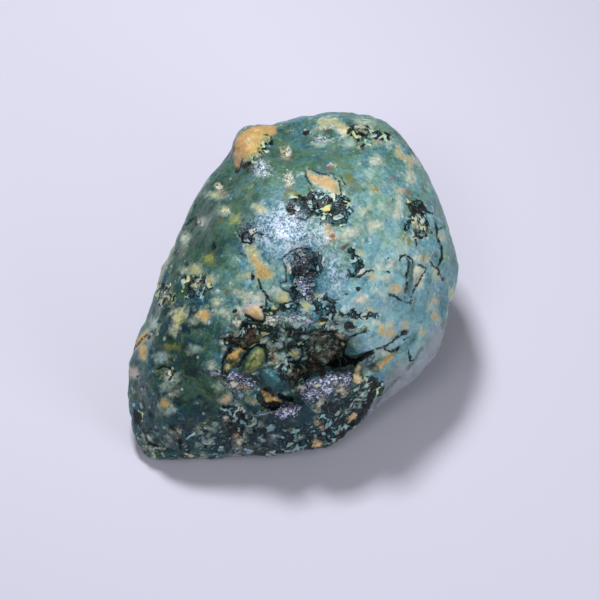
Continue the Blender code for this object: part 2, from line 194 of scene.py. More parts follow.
OVALS = {
    "cream": [(8.6, 12.9, 0.45, 0.28, -10), (12, 11.5, 0.3, 0.35), (12.2, 10.9, 0.28, 0.4),
        (7.4, 7.9, 0.4, 0.38), (8.4, 6.5, 0.55, 0.42, 10), (5.8, 5.5, 0.6, 0.5, 30), (6.5, 6, 0.4, 0.38),
        (10.9, 8.7, 0.28, 0.7, 10), (10.7, 7.7, 0.3, 0.5, -10), (8.9, 2.3, 0.42, 0.28),
        (10.1, 2.5, 0.38, 0.3), (9.7, 1.2, 0.22, 0.18), (12.7, 3.2, 0.3, 0.4), (13.2, 1.3, 0.22, 0.5, 10),
        (0.6, -6.4, 0.55, 0.6), (-1.3, -6.4, 0.7, 0.45, 30), (-0.6, -4.8, 0.35, 0.35),
        (0.2, -5.1, 0.38, 0.26, 20), (-6.6, -2.3, 0.45, 0.24), (-7.2, -1.2, 0.28, 0.24),
        (-4.4, -0.7, 0.5, 0.45), (-3.3, -0.6, 0.48, 0.3, -15), (-5.4, -3.3, 0.28, 0.42),
        (-7.3, -0.2, 0.16, 0.16), (-6.3, -2.4, 0.2, 0.2), (-5.5, -9.4, 0.4, 0.3), (-8.8, 6.8, 0.26, 0.26),
        (-10.5, 5.2, 0.25, 0.32), (-10.4, 1.9, 0.3, 0.22), (-11.6, -10.4, 0.16, 0.14),
        (3, -11.5, 0.42, 0.6, -35), (6.5, -12.2, 0.55, 0.28, 25), (0.1, -16, 0.25, 0.22),
        (3.9, 17, 0.7, 0.25), (7.5, 16.8, 0.6, 0.18), (-9.2, -16.6, 0.5, 0.18), (-5.8, -16.6, 0.45, 0.18),
        (13, 8.1, 0.26, 0.34), (12.7, 7.3, 0.24, 0.28), (5.3, 9.5, 0.22, 0.3), (4.8, 10.5, 0.18, 0.3),
        (1.9, 8.9, 0.32, 0.42)],
    "straw": [(-0.6, -0.8, 0.55, 0.62), (-11, -2.5, 0.62, 0.55), (-11.4, -3.7, 0.32, 0.55, -20),
        (-9.5, 2, 0.6, 0.42, 15), (-7.4, -1.3, 0.25, 0.22), (-4.4, 1.4, 0.45, 0.3, 20),
        (-2.9, 8, 0.35, 0.28), (-3.3, 8.4, 0.3, 0.22), (-6.6, 7.9, 0.24, 0.26), (-7.4, 9.5, 0.6, 0.25),
        (7, 16.1, 0.75, 0.28), (9.8, 14.9, 0.22, 0.3, 30), (13.1, 5.9, 0.7, 0.38, -10),
        (2, -1.4, 0.7, 0.35, 10), (3, -1, 0.45, 0.42), (-12.6, -0.9, 0.28, 0.8, -30), (6.9, 3.6, 0.3, 0.22),
        (3.2, 16.4, 0.45, 0.24, 20), (-8, 1, 0.35, 0.3), (3.6, 7.4, 0.5, 0.18, -10), (0.4, 7.7, 0.5, 0.2),
        (6.9, -14.4, 0.34, 0.3), (4.6, -15.2, 0.35, 0.28, 20), (5, -2.6, 0.25, 0.2), (14.6, 1.6, 0.24, 0.5),
        (16.2, -0.6, 0.2, 0.6), (-2.2, -9.4, 0.3, 0.22), (-13.3, -15.7, 0.25, 0.2),
        (-5, -13, 0.16, 0.4, 20)],
    "honey": [(-8.5, -2.6, 0.55, 0.5), (10.6, 0.1, 0.48, 0.42), (8.3, 1.3, 0.36, 0.26),
        (7.3, -0.8, 0.3, 0.28), (7.9, -2.1, 0.55, 0.22), (9.3, -3.9, 0.45, 0.4, 20),
        (10, -4.4, 0.45, 0.3, -10), (13.6, 3.1, 0.36, 0.36), (14.6, -2.7, 0.26, 0.42),
        (11.6, -3.6, 0.3, 0.26), (10, -3.6, 0.28, 0.28), (8.6, 10, 0.4, 0.3), (3.9, 5.7, 0.55, 0.7, 15),
        (-5.4, 7.2, 0.18, 0.16), (-12.5, -11.3, 0.4, 0.36), (2.9, -13.2, 0.38, 0.26, 10),
        (5.6, -13, 0.42, 0.36), (-4.4, -9.8, 0.38, 0.24), (13.2, -4.1, 0.22, 0.26), (-11.9, -1, 0.18, 0.3),
        (-8.4, 0.7, 0.24, 0.2), (5.2, -10.3, 0.24, 0.2), (-1.7, -6.7, 0.26, 0.24), (-3.6, -11.2, 0.25, 0.2),
        (8.7, 14.9, 0.3, 0.18)],
    "peach": [(5.3, 16, 0.45, 0.35, -40), (-3, 7.9, 0.16, 0.14), (12.8, 0.9, 0.28, 0.55, 15),
        (-0.2, 2.2, 0.2, 0.2), (14.4, -1, 0.2, 0.26), (11.4, -3.6, 0.2, 0.3), (15.3, 5.5, 0.22, 0.28),
        (10.9, 9.9, 0.22, 0.2)],
    "blush": [(-5, -2.1, 0.45, 0.32), (4.2, 16.6, 0.4, 0.2), (12.7, 13.1, 0.28, 0.36),
        (2.9, 10.6, 0.35, 0.26, -20), (7, -1, 0.5, 0.3), (-5.2, -11.7, 0.4, 0.2, -30),
        (8.6, -3.2, 0.32, 0.2, -30), (-12.3, -8.5, 0.26, 0.3), (-2, -3, 0.2, 0.16),
        (-5.9, -12.9, 0.26, 0.3)],
    "bone": [(-1.6, -0.1, 0.6, 0.5, 20), (-13.5, -3.3, 0.24, 0.34), (-12.9, -0.3, 0.32, 0.42),
        (-0.8, -4.9, 0.35, 0.4), (-12.2, -15.2, 0.3, 0.24), (-3.8, -1.1, 0.4, 0.2),
        (-14, -14.8, 0.5, 0.16, 30), (-13.4, -15.8, 0.6, 0.14, 12), (-14.3, -16, 0.4, 0.14, -20),
        (-4.6, -16.1, 0.55, 0.28), (12, 5, 0.3, 0.4), (7.2, -2.9, 0.5, 0.14, 5),
        (7.2, -3.9, 0.55, 0.16, 10), (-9.8, -3, 0.2, 0.2), (14.1, -1.6, 0.22, 0.3), (-7.9, -7.6, 0.24, 0.2),
        (-10.9, 8.5, 0.22, 0.26), (5.9, 8.7, 0.25, 0.2), (-3.6, 5.3, 0.22, 0.3), (-4.6, 5.6, 0.16, 0.2),
        (2.6, 8.1, 0.3, 0.15), (-6.2, -12.6, 0.22, 0.22), (9, -0.3, 0.4, 0.2)],
    "mint": [(-3.6, -13.6, 0.5, 0.2, 10), (8.7, -10.1, 0.3, 0.22), (-11.6, -8.8, 0.2, 0.2),
        (-7.9, -13.8, 0.3, 0.2), (7.7, -7.9, 0.4, 0.3, 30), (8.2, -6.6, 0.5, 0.24, 30),
        (1.4, -2.5, 0.5, 0.3), (-9.6, -6, 0.3, 0.2), (-7, -9.6, 0.25, 0.2), (-12.5, -9.6, 0.26, 0.16),
        (-12.1, -12.1, 0.4, 0.24), (4.6, -9.4, 0.3, 0.2), (11.2, 3.6, 0.3, 0.4), (9.4, 8.2, 0.3, 0.2),
        (7.9, 11.6, 0.35, 0.25), (3, 14.6, 0.4, 0.16), (5.8, 14.6, 0.4, 0.2)],
    # Painted bluish sheen along edges and on lumps, and a painted glint at (8, -6.8).
    "sky": [(-2.6, -12.3, 1.2, 0.12, 4), (-12.7, -6.8, 0.5, 0.28), (-14.2, -5, 0.2, 0.3, -30),
        (-1.6, -14.7, 0.3, 0.16), (-4.2, -16, 0.4, 0.24), (-9, -14.2, 0.2, 0.16), (-14.7, -9.9, 0.2, 0.24),
        (-8.4, -15.2, 0.3, 0.2), (-6, -13.2, 0.3, 0.24), (-12, -15, 0.4, 0.3), (8, -6.8, 0.2, 0.24)],
    # The rust ovals at (-0.1, 13) and (0, 10.2), and the umber one at (0.3, 13.2), lie on the lower sides
    # of the upper and middle pits: iron stain, and partly painted shade in the pits.
    "rust": [(11.6, 9.7, 0.26, 0.22), (11.3, 5.1, 0.28, 0.26), (10.2, 11.1, 0.3, 0.24),
        (4.2, 5.55, 0.22, 0.2), (15.1, -0.8, 0.18, 0.3), (3.8, 12.15, 0.55, 0.18, 8), (8.4, 10, 0.18, 0.2),
        (2.9, -1.3, 0.1, 0.5, 40), (2.3, -0.9, 0.1, 0.4, 30), (-7, 7, 0.1, 0.1), (0, 10.2, 0.45, 0.16, 10),
        (-0.1, 13, 0.32, 0.14, 20), (-6.7, 9.6, 0.12, 0.3)],
    "umber": [(-4, -4.8, 0.6, 0.55), (3.8, 15.9, 0.32, 0.26), (0.7, 8, 0.34, 0.4),
        (5.2, 4.3, 0.6, 0.22, 25), (-6.6, 10.4, 0.24, 0.2), (0.3, 13.2, 0.4, 0.14, 20),
        (1.7, 7.5, 0.7, 0.2)],
    "olive": [(-5.7, 7.1, 0.7, 0.42, 40), (8.5, 10.3, 0.45, 0.3), (5.9, 10.9, 0.4, 0.6),
        (0.1, 9.65, 0.95, 0.22, 4), (-10.7, -3.1, 0.34, 0.2, 10), (-8, 3, 0.75, 0.6),
        (3.9, 4.85, 0.55, 0.24), (12, 4.7, 0.2, 0.35, 10), (-4, 10.4, 0.35, 0.22),
        (12.9, 5.95, 0.4, 0.2, -10), (-12, -5.7, 0.7, 0.3), (4.3, 14, 0.4, 0.2)],
    # The first four fern ovals run down the trough on the crown's left: painted shade in the trough, over
    # dark green moss.
    "fern_and_shade": [(-2.4, 10.8, 0.55, 0.3, -40), (-3.5, 9.3, 0.42, 0.55, 20), (-4.4, 8, 0.45, 0.6, 35),
        (-5, 6.8, 0.4, 0.55, 25), (-9, 6.4, 0.55, 0.5), (-8.3, 6.1, 0.34, 0.26), (-9.4, 8.4, 0.26, 0.45),
        (-11.3, 3.9, 0.3, 0.4), (-7, 3, 0.62, 0.6), (13.3, 10.2, 0.24, 0.45), (12.2, 13.8, 0.42, 0.34),
        (6.6, 14.9, 0.3, 0.2), (-9.2, -4.6, 1.1, 0.45), (-2.2, 14.7, 0.2, 0.3, 20),
        (10.5, 15.6, 0.5, 0.22, -30), (7.7, 12.7, 0.18, 0.18), (4.9, 7.1, 0.75, 0.34, 10),
        (6.4, 9.9, 0.2, 0.3), (-9.8, -10.1, 1.2, 1), (-8, -8.9, 0.8, 0.7), (15.5, -3.4, 0.3, 0.5)],
    "moss": [(-5.5, 7.1, 0.62, 0.46, 40), (-8.1, 3.1, 0.45, 0.36), (-0.2, 9.7, 0.5, 0.16)],
    "deep": [(1, -12.4, 1.6, 1.15, -35), (-3.9, -11.9, 0.7, 0.5, 20)],
    "lilac": [(-1.2, -14.6, 0.25, 0.22), (-4.4, -16.1, 0.22, 0.22), (-8.7, -14.9, 0.18, 0.18)],
}

STROKES = [
    ("straw", 0.45, [(3, 16.8), (4.3, 16.8), (5.2, 16.4), (5.7, 15.7)]),
    ("straw", 0.34, [(6.2, 16), (7, 16.3), (8.1, 16.2)]),
    ("honey", 0.32, [(10.8, 14.3), (11, 13.5), (11.6, 13.1), (12.2, 13), (12, 12.3)]),
    ("straw", 0.16, [(-8.3, 11.4), (-9.7, 9.1), (-11, 6.4), (-12.5, 2.6), (-13.6, 0), (-15, -3.2)]),
    ("cream", 0.5, [(12.6, 2), (12.6, 1.2), (12.8, 0.6)]),
    ("mint", 0.28, [(6.6, -3.85), (7.6, -4.1)]),
    ("cream", 0.22, [(-6.6, -6), (-6.2, -5.5), (-5.6, -5.6), (-4.8, -5.3), (-3.6, -5.4)]),
    ("cream", 0.2, [(-6.9, -5.2), (-6, -5), (-5.2, -4.4)]),
    ("cream", 0.24, [(-5.5, -0.2), (-4.6, -0.2), (-3.3, -0.9), (-2.6, -0.7), (-2.5, -1.2)]),
    ("slate", 0.32, [(13.2, -5.8), (12.6, -6.8), (11.8, -7.8)]),
    ("slate", 0.3, [(10.9, -8.7), (9.8, -9.8), (9, -10.8), (8.4, -11.8)]),
    ("slate", 0.36, [(7.7, -12.3), (6.8, -13.3), (5.6, -14.1), (4.3, -14.7)]),
    ("clay", 0.4, [(4.5, 10.4), (4.7, 9.8), (4.6, 9.4)]),
    ("cream", 0.26, [(2.4, 10.6), (2.9, 10.35), (3.5, 10.15), (4, 10)]),
]

# Marks that lie over the lace and the hollow's floor.
OVER_PATCHES = [
    ("fern_and_shade", [(-4.9, -8.2), (-5.1, -7.4), (-4.6, -6.7), (-4.1, -6.1), (-3.6, -5.75), (-3.1, -5.6),
        (-2.6, -5.8), (-2.4, -6.4), (-2.6, -7.2), (-3.1, -8), (-3.9, -8.5), (-4.5, -8.6)]),
    ("olive", [(-4.4, -8.3), (-4.5, -7.5), (-4.1, -6.8), (-3.6, -6.2), (-3.1, -5.8), (-2.7, -6),
        (-2.6, -6.6), (-2.8, -7.2), (-3.3, -7.8), (-3.8, -8.2)]),
    ("moss", [(-4.2, -7.3), (-3.8, -6.6), (-3.4, -6.15), (-3, -6), (-2.8, -6.3), (-3.1, -6.5), (-3.3, -6.9),
        (-3.8, -7.2)]),
    ("clay", [(-3.3, -6.3), (-3, -6.1), (-2.9, -6.3), (-3.1, -6.6)]),
    ("honey", [(-6.4, -6.9), (-6.3, -6.5), (-5.8, -6.3), (-5.4, -6), (-4.8, -5.8), (-4.6, -5.95),
        (-5, -6.3), (-5.2, -6.8), (-5.8, -7)]),
    ("straw", [(-6.6, -7.9), (-6.2, -7.3), (-5.8, -7.4), (-5.9, -7.8), (-6.4, -8.1)]),
    ("teal", [(-2.9, -8), (-2.2, -7.8), (-1.2, -7.9), (-1, -8.4), (-1, -9), (-0.2, -9.3), (0.2, -9.8),
        (-0.6, -9.95), (-1.6, -10), (-2.5, -9.7), (-3, -9.2), (-3, -8.5)]),
    ("honey", [(-2.9, -10.1), (-2.4, -10.1), (-1.9, -10.6), (-1.2, -10.9), (-0.8, -11.15), (-1.7, -11.2),
        (-2.3, -11.2), (-2.6, -10.8)]),
    ("peach", [(4.5, -4.4), (5, -4.3), (5.5, -4.4), (5.3, -5), (4.9, -4.8)]),
    ("buff", [(6.7, -7.5), (7.1, -7.6), (7, -8.2), (7.2, -8.9), (7.4, -9.2), (6.9, -9.4), (6.3, -9.1),
        (6.4, -8.5), (6.5, -7.9)]),
]

OVER_OVALS = {
    "umber": [(-3.9, -4.3, 0.3, 0.3), (-3.8, -4.9, 0.45, 0.24, 10), (-5.8, -5.1, 0.5, 0.12, -8)],
    "bark": [(3, -5.2, 0.4, 0.24, 20), (3.9, -6.6, 0.35, 0.38), (2.4, -7.8, 0.6, 0.16, -10),
        (0.4, -8.6, 0.5, 0.18, 35), (2.6, -6.6, 0.24, 0.18), (4.4, -6.2, 0.2, 0.2)],
    "sage": [(4.7, -5.7, 0.3, 0.2, 20), (3, -6, 0.2, 0.3), (0.1, -8.1, 0.2, 0.35, -20),
        (3.7, -5.7, 0.24, 0.16, 30), (3.4, -7, 0.24, 0.14, -20), (4.2, -5, 0.2, 0.16),
        (2.4, -4.9, 0.24, 0.2), (4.9, -6.9, 0.2, 0.14), (2.2, -5.7, 0.2, 0.26)],
    "olive": [(-4.7, -5.35, 0.36, 0.18), (-2.9, -4.95, 0.4, 0.24, 10), (-5.6, -7.3, 0.3, 0.2),
        (8.5, -7.8, 0.25, 0.2)],
    "mint": [(-2.1, -5.4, 0.24, 0.34, 30), (-1.2, -5.55, 0.42, 0.26), (-0.9, -4.9, 0.34, 0.26),
        (-0.7, -4.45, 0.24, 0.2), (0, -4.95, 0.38, 0.22, 20), (-1.1, -6.7, 0.8, 0.46, 15),
        (-2.5, -5, 0.34, 0.28), (1.5, -2.9, 0.55, 0.34, 10), (0.9, -3.4, 0.5, 0.24, 10),
        (1.3, -6.2, 0.24, 0.34), (-2.1, -7.35, 0.34, 0.3), (0.45, -6.4, 0.5, 0.6, -15),
        (1.6, -4.75, 0.42, 0.2, 10), (-0.9, -3.9, 0.4, 0.16, -30), (2.8, -5.7, 0.22, 0.22),
        (1.4, -7, 0.3, 0.16, 30), (-3.4, -8.3, 0.34, 0.16, 20), (5, -3.9, 0.3, 0.45, -25),
        (7, -4.15, 0.5, 0.14, 20), (-6.5, -9.3, 0.2, 0.2), (7.4, -10.4, 0.36, 0.24), (5.6, -12, 0.3, 0.24),
        (4.6, -10.9, 0.26, 0.16), (1.2, -14.8, 0.26, 0.2), (7, -11.5, 0.22, 0.26),
        (-9.2, -15.4, 0.24, 0.18), (-7.4, -13.4, 0.28, 0.22), (-8.2, -14.6, 0.2, 0.16),
        (-10.4, -15.6, 0.22, 0.18), (-2.8, -14.9, 0.28, 0.18)],
    "cream": [(-11.2, -14.3, 0.3, 0.42, 10), (-5.1, -15.1, 0.36, 0.36, -10), (-6.4, -12.9, 0.3, 0.24),
        (-10, -16.6, 0.5, 0.18), (-5.6, -16.7, 0.45, 0.16), (-1.9, -3, 0.6, 0.34, 20),
        (-6.35, -4.55, 0.34, 0.2, 20), (-5.4, -3.3, 0.34, 0.4), (-5.5, -9.4, 0.36, 0.42),
        (0.95, -9.8, 0.4, 0.2, 10), (2.6, -9.6, 0.5, 0.2, 20), (-2.7, -5.2, 0.2, 0.24),
        (5, -9.4, 0.4, 0.24), (3.1, -11.1, 0.3, 0.5, -30), (4.4, -3.7, 0.22, 0.2),
        (5.2, -9.95, 0.6, 0.2, 10)],
    "deep": [(-0.6, -9.6, 0.6, 0.24, -10), (-2.7, -9.2, 0.22, 0.45), (-1.3, -8.5, 0.16, 0.3, 30)],
    "bone": [(-14.2, -14.7, 0.62, 0.24, -35), (-13.4, -15.9, 0.75, 0.22, 12), (-12.3, -14.7, 0.24, 0.2)],
    "straw": [(0.42, -6.35, 0.32, 0.42, -10), (3.2, -3.3, 0.5, 0.16)],
    "peach": [(6.4, -12.8, 0.5, 0.3, 20), (4.9, -15.3, 0.7, 0.16, 25), (3.1, -13.8, 0.22, 0.18),
        (-3, -16.7, 0.4, 0.18), (-5.4, -14.5, 0.24, 0.2), (2.7, -15.4, 0.4, 0.45),
        (-1.55, -6.85, 0.34, 0.34), (-4.5, -9.75, 0.45, 0.16, -5), (5.3, -10.35, 0.3, 0.14, 10)],
    "lilac": [(-7.5, -8.4, 0.4, 0.22, -20), (-1.1, -5.35, 0.2, 0.14), (1.6, -3.3, 0.5, 0.2),
        (6.3, -3.75, 0.22, 0.12, 20), (0, -11.4, 0.35, 0.18, 10)],
    # Painted bluish sheen on edges and lumps; the two near (8, -7) are a painted glint.
    "sky": [(-12, -15, 0.36, 0.3), (-4.2, -16.1, 0.5, 0.24), (-1.6, -14.6, 0.3, 0.16),
        (-14.8, -9.8, 0.24, 0.24), (-2.9, -12.4, 0.8, 0.1, 4), (8, -6.75, 0.2, 0.12, 20),
        (7.8, -7.4, 0.3, 0.2, 30), (-5, -10.6, 0.25, 0.3)],
}

OVER_STROKES = [
    ("umber", 0.22, [(2.2, -7.5), (2.9, -7.6), (3.2, -8), (3.3, -8.6)]),
    ("fern_and_shade", 0.2, [(-4.2, -7.9), (-3.9, -7.2), (-3.5, -6.8), (-3.4, -6.4)]),
    ("mint", 0.22, [(4.7, -3.2), (4.9, -3.7), (5.2, -4.1), (5.9, -4.45), (6.6, -4.25)]),
]

# Black manganese lines, and painted shadow in one crack: (width, places). Some lines follow cracks, which
# are cut further down.
INK_AND_SHADOW_LINES = [
    (0.17, [(2.9, 11.65), (2.3, 12), (1.9, 12.2), (1.6, 11.9), (1.6, 11.3), (1.9, 10.8), (2.2, 10.4)]),
    (0.14, [(2.9, 11.65), (3.5, 11.64), (4.4, 11.2), (5, 10.8), (5.1, 10), (5.1, 9.2)]),
    (0.1, [(4, 11.75), (5, 11.5), (5.5, 10.6)]),
    (0.2, [(0.4, 9.1), (1, 9), (2.3, 9.1)]),
    (0.18, [(0.7, 7.2), (1.6, 7), (2.2, 7.6), (2.6, 8.4)]),
    (0.26, [(-4.8, 5.5), (-4.7, 4.8), (-4, 4.7), (-3.8, 5.2), (-4.3, 5.8), (-4.8, 5.5)]),
    (0.22, [(-3.8, 5.3), (-3.3, 5.8), (-2.7, 5.5)]),
    (0.22, [(-3.1, 1), (-2.9, 0.3), (-2.4, -0.5), (-2.2, -0.8)]),
    (0.13, [(-2.3, -0.7), (-1.8, -1.2), (-1.3, -1.5), (-0.6, -1.4), (0.1, -1.2), (0.4, -1.1), (0.1, -0.6),
        (0.4, -0.3), (-0.4, -0.1), (-1, 0.3), (-0.9, 0.7), (-0.4, 0.8), (-0.4, 1.5), (-0.5, 2.4),
        (-0.8, 3.2), (0.1, 3.8), (1, 4.2), (2.1, 4)]),
    (0.22, [(-2.4, -0.8), (-2.4, -1.5), (-2.6, -2.1), (-2.5, -3), (-2.9, -3.1), (-4.1, -2.8),
        (-4.5, -2.4)]),
    (0.16, [(6.2, 4), (6.9, 2.8), (7, 2.2), (6.8, 1.7)]),
    (0.18, [(5.8, 2), (6.1, 1.4), (6.6, 1.2), (7.3, 1.5), (7.6, 1.8), (8.3, 1.9)]),
    (0.26, [(12.3, 8.9), (13, 8.9), (13.5, 8.3), (13.7, 7.8), (14.3, 7.6)]),
    (0.18, [(11.5, 8.6), (12.2, 8.4), (12.5, 8.2), (12.2, 7.6), (12.1, 7.2)]),
    (0.18, [(12.3, 7), (12.9, 6.8), (13.5, 6.4), (13.8, 6)]),
    (0.22, [(12, 6.9), (11.8, 6.2)]),
    (0.17, [(12.4, 5.9), (12.8, 5.4), (13.2, 5.2), (13.6, 5.5)]),
    (0.18, [(12.6, 5.6), (12.6, 5), (12.6, 4.2)]),
    (0.24, [(14.5, 6.8), (14.7, 6.1), (14.8, 5), (15.1, 4.4)]),
    (0.15, [(14.7, 6.1), (15.3, 6.2)]),
    (0.26, [(15.1, 4.4), (15.2, 3.4), (15.1, 2.9)]),
    (0.18, [(15.1, 2.9), (14.8, 2.2), (14.3, 2.4), (14, 2.9)]),
    (0.2, [(14.8, 2.2), (14.9, 1.6), (15.2, 1.3), (15.3, 1)]),
    (0.24, [(11, 3), (11.1, 3.4), (11.6, 3.5), (12.1, 3.1), (12.3, 2.7)]),
    (0.17, [(12.3, 2.7), (13, 2.5), (13.6, 2.2), (13.3, 1.6), (12.9, 0.8), (12.4, 0), (12.2, -0.6),
        (12.1, -1.3), (11.6, -1.2), (11, -1)]),
    (0.28, [(11, -1), (10.7, -0.7), (10.3, -0.5), (10, -0.5)]),
    (0.24, [(11.8, 2.9), (11.9, 2.3), (11.8, 1.8), (11.6, 1.4)]),
    (0.2, [(11.6, 1.4), (11.7, 0.9), (11.7, 0.3), (11.5, -0.2)]),
    (0.16, [(3, -1.2), (3.6, -0.9), (4.2, -1.3), (4.5, -2.1), (4.2, -2.9), (4.6, -3.4)]),
    (0.14, [(3.4, -1.8), (3.9, -1.5), (4.1, -2.2), (3.6, -2.6)]),
    (0.12, [(4, -2.1), (4.4, -1.4), (5, -0.7), (5.7, -0.4)]),
    (0.16, [(5.4, -6.7), (5.4, -5.9), (5.7, -5.1), (6.2, -4.6), (7.2, -4.3), (7.7, -4.2)]),
    (0.22, [(8.2, -6.1), (9, -5.8), (9.6, -5.6), (10.2, -5.2)]),
    (0.36, [(10.2, -5.2), (10.6, -4.8), (10.9, -4.6)]),
    (0.22, [(10.9, -4.6), (11.4, -4.2)]),
    # The widest line is painted shadow in the crack below the hollow's lip, over a thin black line.
    (0.6, [(8.2, -6.2), (7.4, -6.7), (6.6, -7.1), (5.6, -7.3), (4.4, -7.5)]),
    (0.18, [(9.4, -5.9), (10, -6.1), (10.6, -6), (10.9, -5.7)]),
    (0.13, [(11.4, -5), (12, -4.7)]),
    (0.24, [(-6.7, -5.1), (-6, -5.3), (-5.4, -5.4), (-5, -5.5), (-4.6, -5.8), (-4.2, -6), (-3.9, -5.9),
        (-3.5, -5.6), (-3.1, -5.5), (-2.6, -5.7)]),
    (0.36, [(-4.2, -6.1), (-4.7, -6.9), (-5.1, -7.6)]),
    (0.2, [(-2.6, -5.7), (-2.35, -6.3), (-2.4, -7.1)]),
    (0.22, [(-6.6, -4.9), (-6, -4.8), (-5.5, -4.8), (-4.9, -4.9), (-4.5, -4.6), (-4.2, -4.1)]),
    (0.34, [(-6.1, -5.5), (-5.8, -5.9), (-6, -6.2)]),
    (0.22, [(-6, -6.2), (-6.4, -6.5), (-6.7, -7), (-6.8, -7.7), (-6.8, -8.4), (-6.6, -8.8)]),
    (0.28, [(-4.8, -3.5), (-4.2, -3.9), (-3.2, -3.9), (-2.2, -4.2)]),
    (0.3, [(-4.4, -2.5), (-4, -2.8), (-3.3, -3.1), (-2.8, -3.1)]),
    (0.16, [(-6, -9.9), (-5.6, -10.5), (-5.7, -11.1)]),
    (0.42, [(-2.5, -9.95), (-1.8, -10.3), (-0.9, -10.6), (0.1, -10.9)]),
    (0.26, [(-0.9, -8), (-0.85, -8.8), (-0.3, -9.05), (0.3, -8.7)]),
    (0.18, [(0, -4.4), (0.8, -4.4), (1.6, -4.4), (2.4, -4.1), (3.4, -4.1), (4.3, -4.3)]),
    (0.14, [(-14.2, -4.4), (-15, -5.2), (-16.2, -6.6)]),
    (0.22, [(-14, -4.6), (-14.2, -4.9)]),
    (0.18, [(-13.2, -8), (-12.7, -7.6), (-12, -7.8), (-11.7, -8.5), (-12.1, -9.1)]),
    (0.16, [(-12, -13.7), (-11.3, -14.3), (-11, -15), (-11, -16)]),
    (0.16, [(-14.8, -13.5), (-14.2, -15.3), (-13, -15.7)]),
    (0.18, [(-2.4, -1.9), (-1.9, -2.6), (-1.4, -2.3), (-1.9, -2), (-2.3, -2.3)]),
    (0.2, [(0.2, 7.9), (-0.3, 8), (-0.3, 8.3), (0.2, 8.5)]),
    (0.14, [(-10.4, 6.4), (-9.7, 7.2)]),
    (0.24, [(-0.1, -6), (0.1, -5.6), (0.7, -5.5), (1.2, -5.9), (1.3, -6.5), (1, -7.1), (0.4, -7.2)]),
    (0.3, [(8, -10.2), (7.8, -11.2), (7, -12.6), (5.8, -14), (4.4, -14.8)]),
    (0.2, [(8.6, -9.4), (8.4, -10.6), (7.7, -12), (6.6, -13.4), (5.2, -14.7)]),
    (0.12, [(-9.9, 1), (-9.2, 0.6), (-8.4, 1.2)]),
]

# The first, long oval is painted shadow in the same crack.
INK_AND_SHADOW_OVALS = [(5.4, -7.2, 1.8, 0.36, 8), (5.9, 3.7, 0.26, 0.2, 20), (-3.7, 1.3, 0.2, 0.3),
    (0.1, 8, 0.34, 0.4), (13.4, 8.3, 0.22, 0.24), (13.6, 6.5, 0.18, 0.14), (11.4, -4.2, 0.26, 0.2),
    (-0.8, -1.8, 0.34, 0.26), (9.7, 3.1, 0.16, 0.12), (9.8, 1.8, 0.16, 0.12), (6.8, 0.2, 0.28, 0.14),
    (6.1, -3.5, 0.4, 0.24, -10), (5.7, -3.7, 0.2, 0.2), (5.6, -2.5, 0.4, 0.12, 12),
    (6.6, -2.3, 0.4, 0.12, -10), (7.6, -2.5, 0.4, 0.12), (5.9, 15.9, 0.2, 0.4, -20),
    (7.2, 15.5, 0.48, 0.14, -10), (8.4, 15.7, 0.3, 0.14), (9.8, 15.6, 0.3, 0.14, -25),
    (6.4, 16.4, 0.3, 0.1, 20), (7.9, 16.2, 0.2, 0.12), (1.7, 15.7, 0.3, 0.18), (-1.9, 14.7, 0.24, 0.26),
    (-4.4, 12.4, 0.6, 0.26, 30), (-5.2, 12, 0.24, 0.22), (-9.5, 6.9, 0.22, 0.45), (-10.1, 0.5, 0.22, 0.36),
    (-10.3, -0.2, 0.2, 0.28), (-8.6, -0.2, 0.16, 0.16), (-12.6, 0.2, 0.26, 0.3, 20),
    (-12.5, -1, 0.2, 0.5, -20), (-15.3, -12.8, 0.34, 0.8, 10), (-15.2, -8.7, 0.2, 0.14),
    (-1.8, -11.6, 0.7, 0.3), (-4.9, -12.6, 0.42, 0.55, 20), (-5.6, -13.6, 0.32, 0.5, 20),
    (-11.6, -13.8, 0.26, 0.22), (-4.4, -2.5, 0.12, 0.12), (-5.6, -2.2, 0.18, 0.18),
    (-3.8, -1.4, 0.16, 0.12), (6.9, 15, 0.34, 0.14, 30), (7.3, 14.3, 0.2, 0.2), (12, -6.6, 0.12, 0.45, 25),
    (-11.4, 3.8, 0.2, 0.26), (16.1, -1.4, 0.2, 0.26), (-7.6, 4.3, 0.16, 0.42), (1.1, 9.3, 0.4, 0.14),
    (3.4, -3, 0.4, 0.2)]

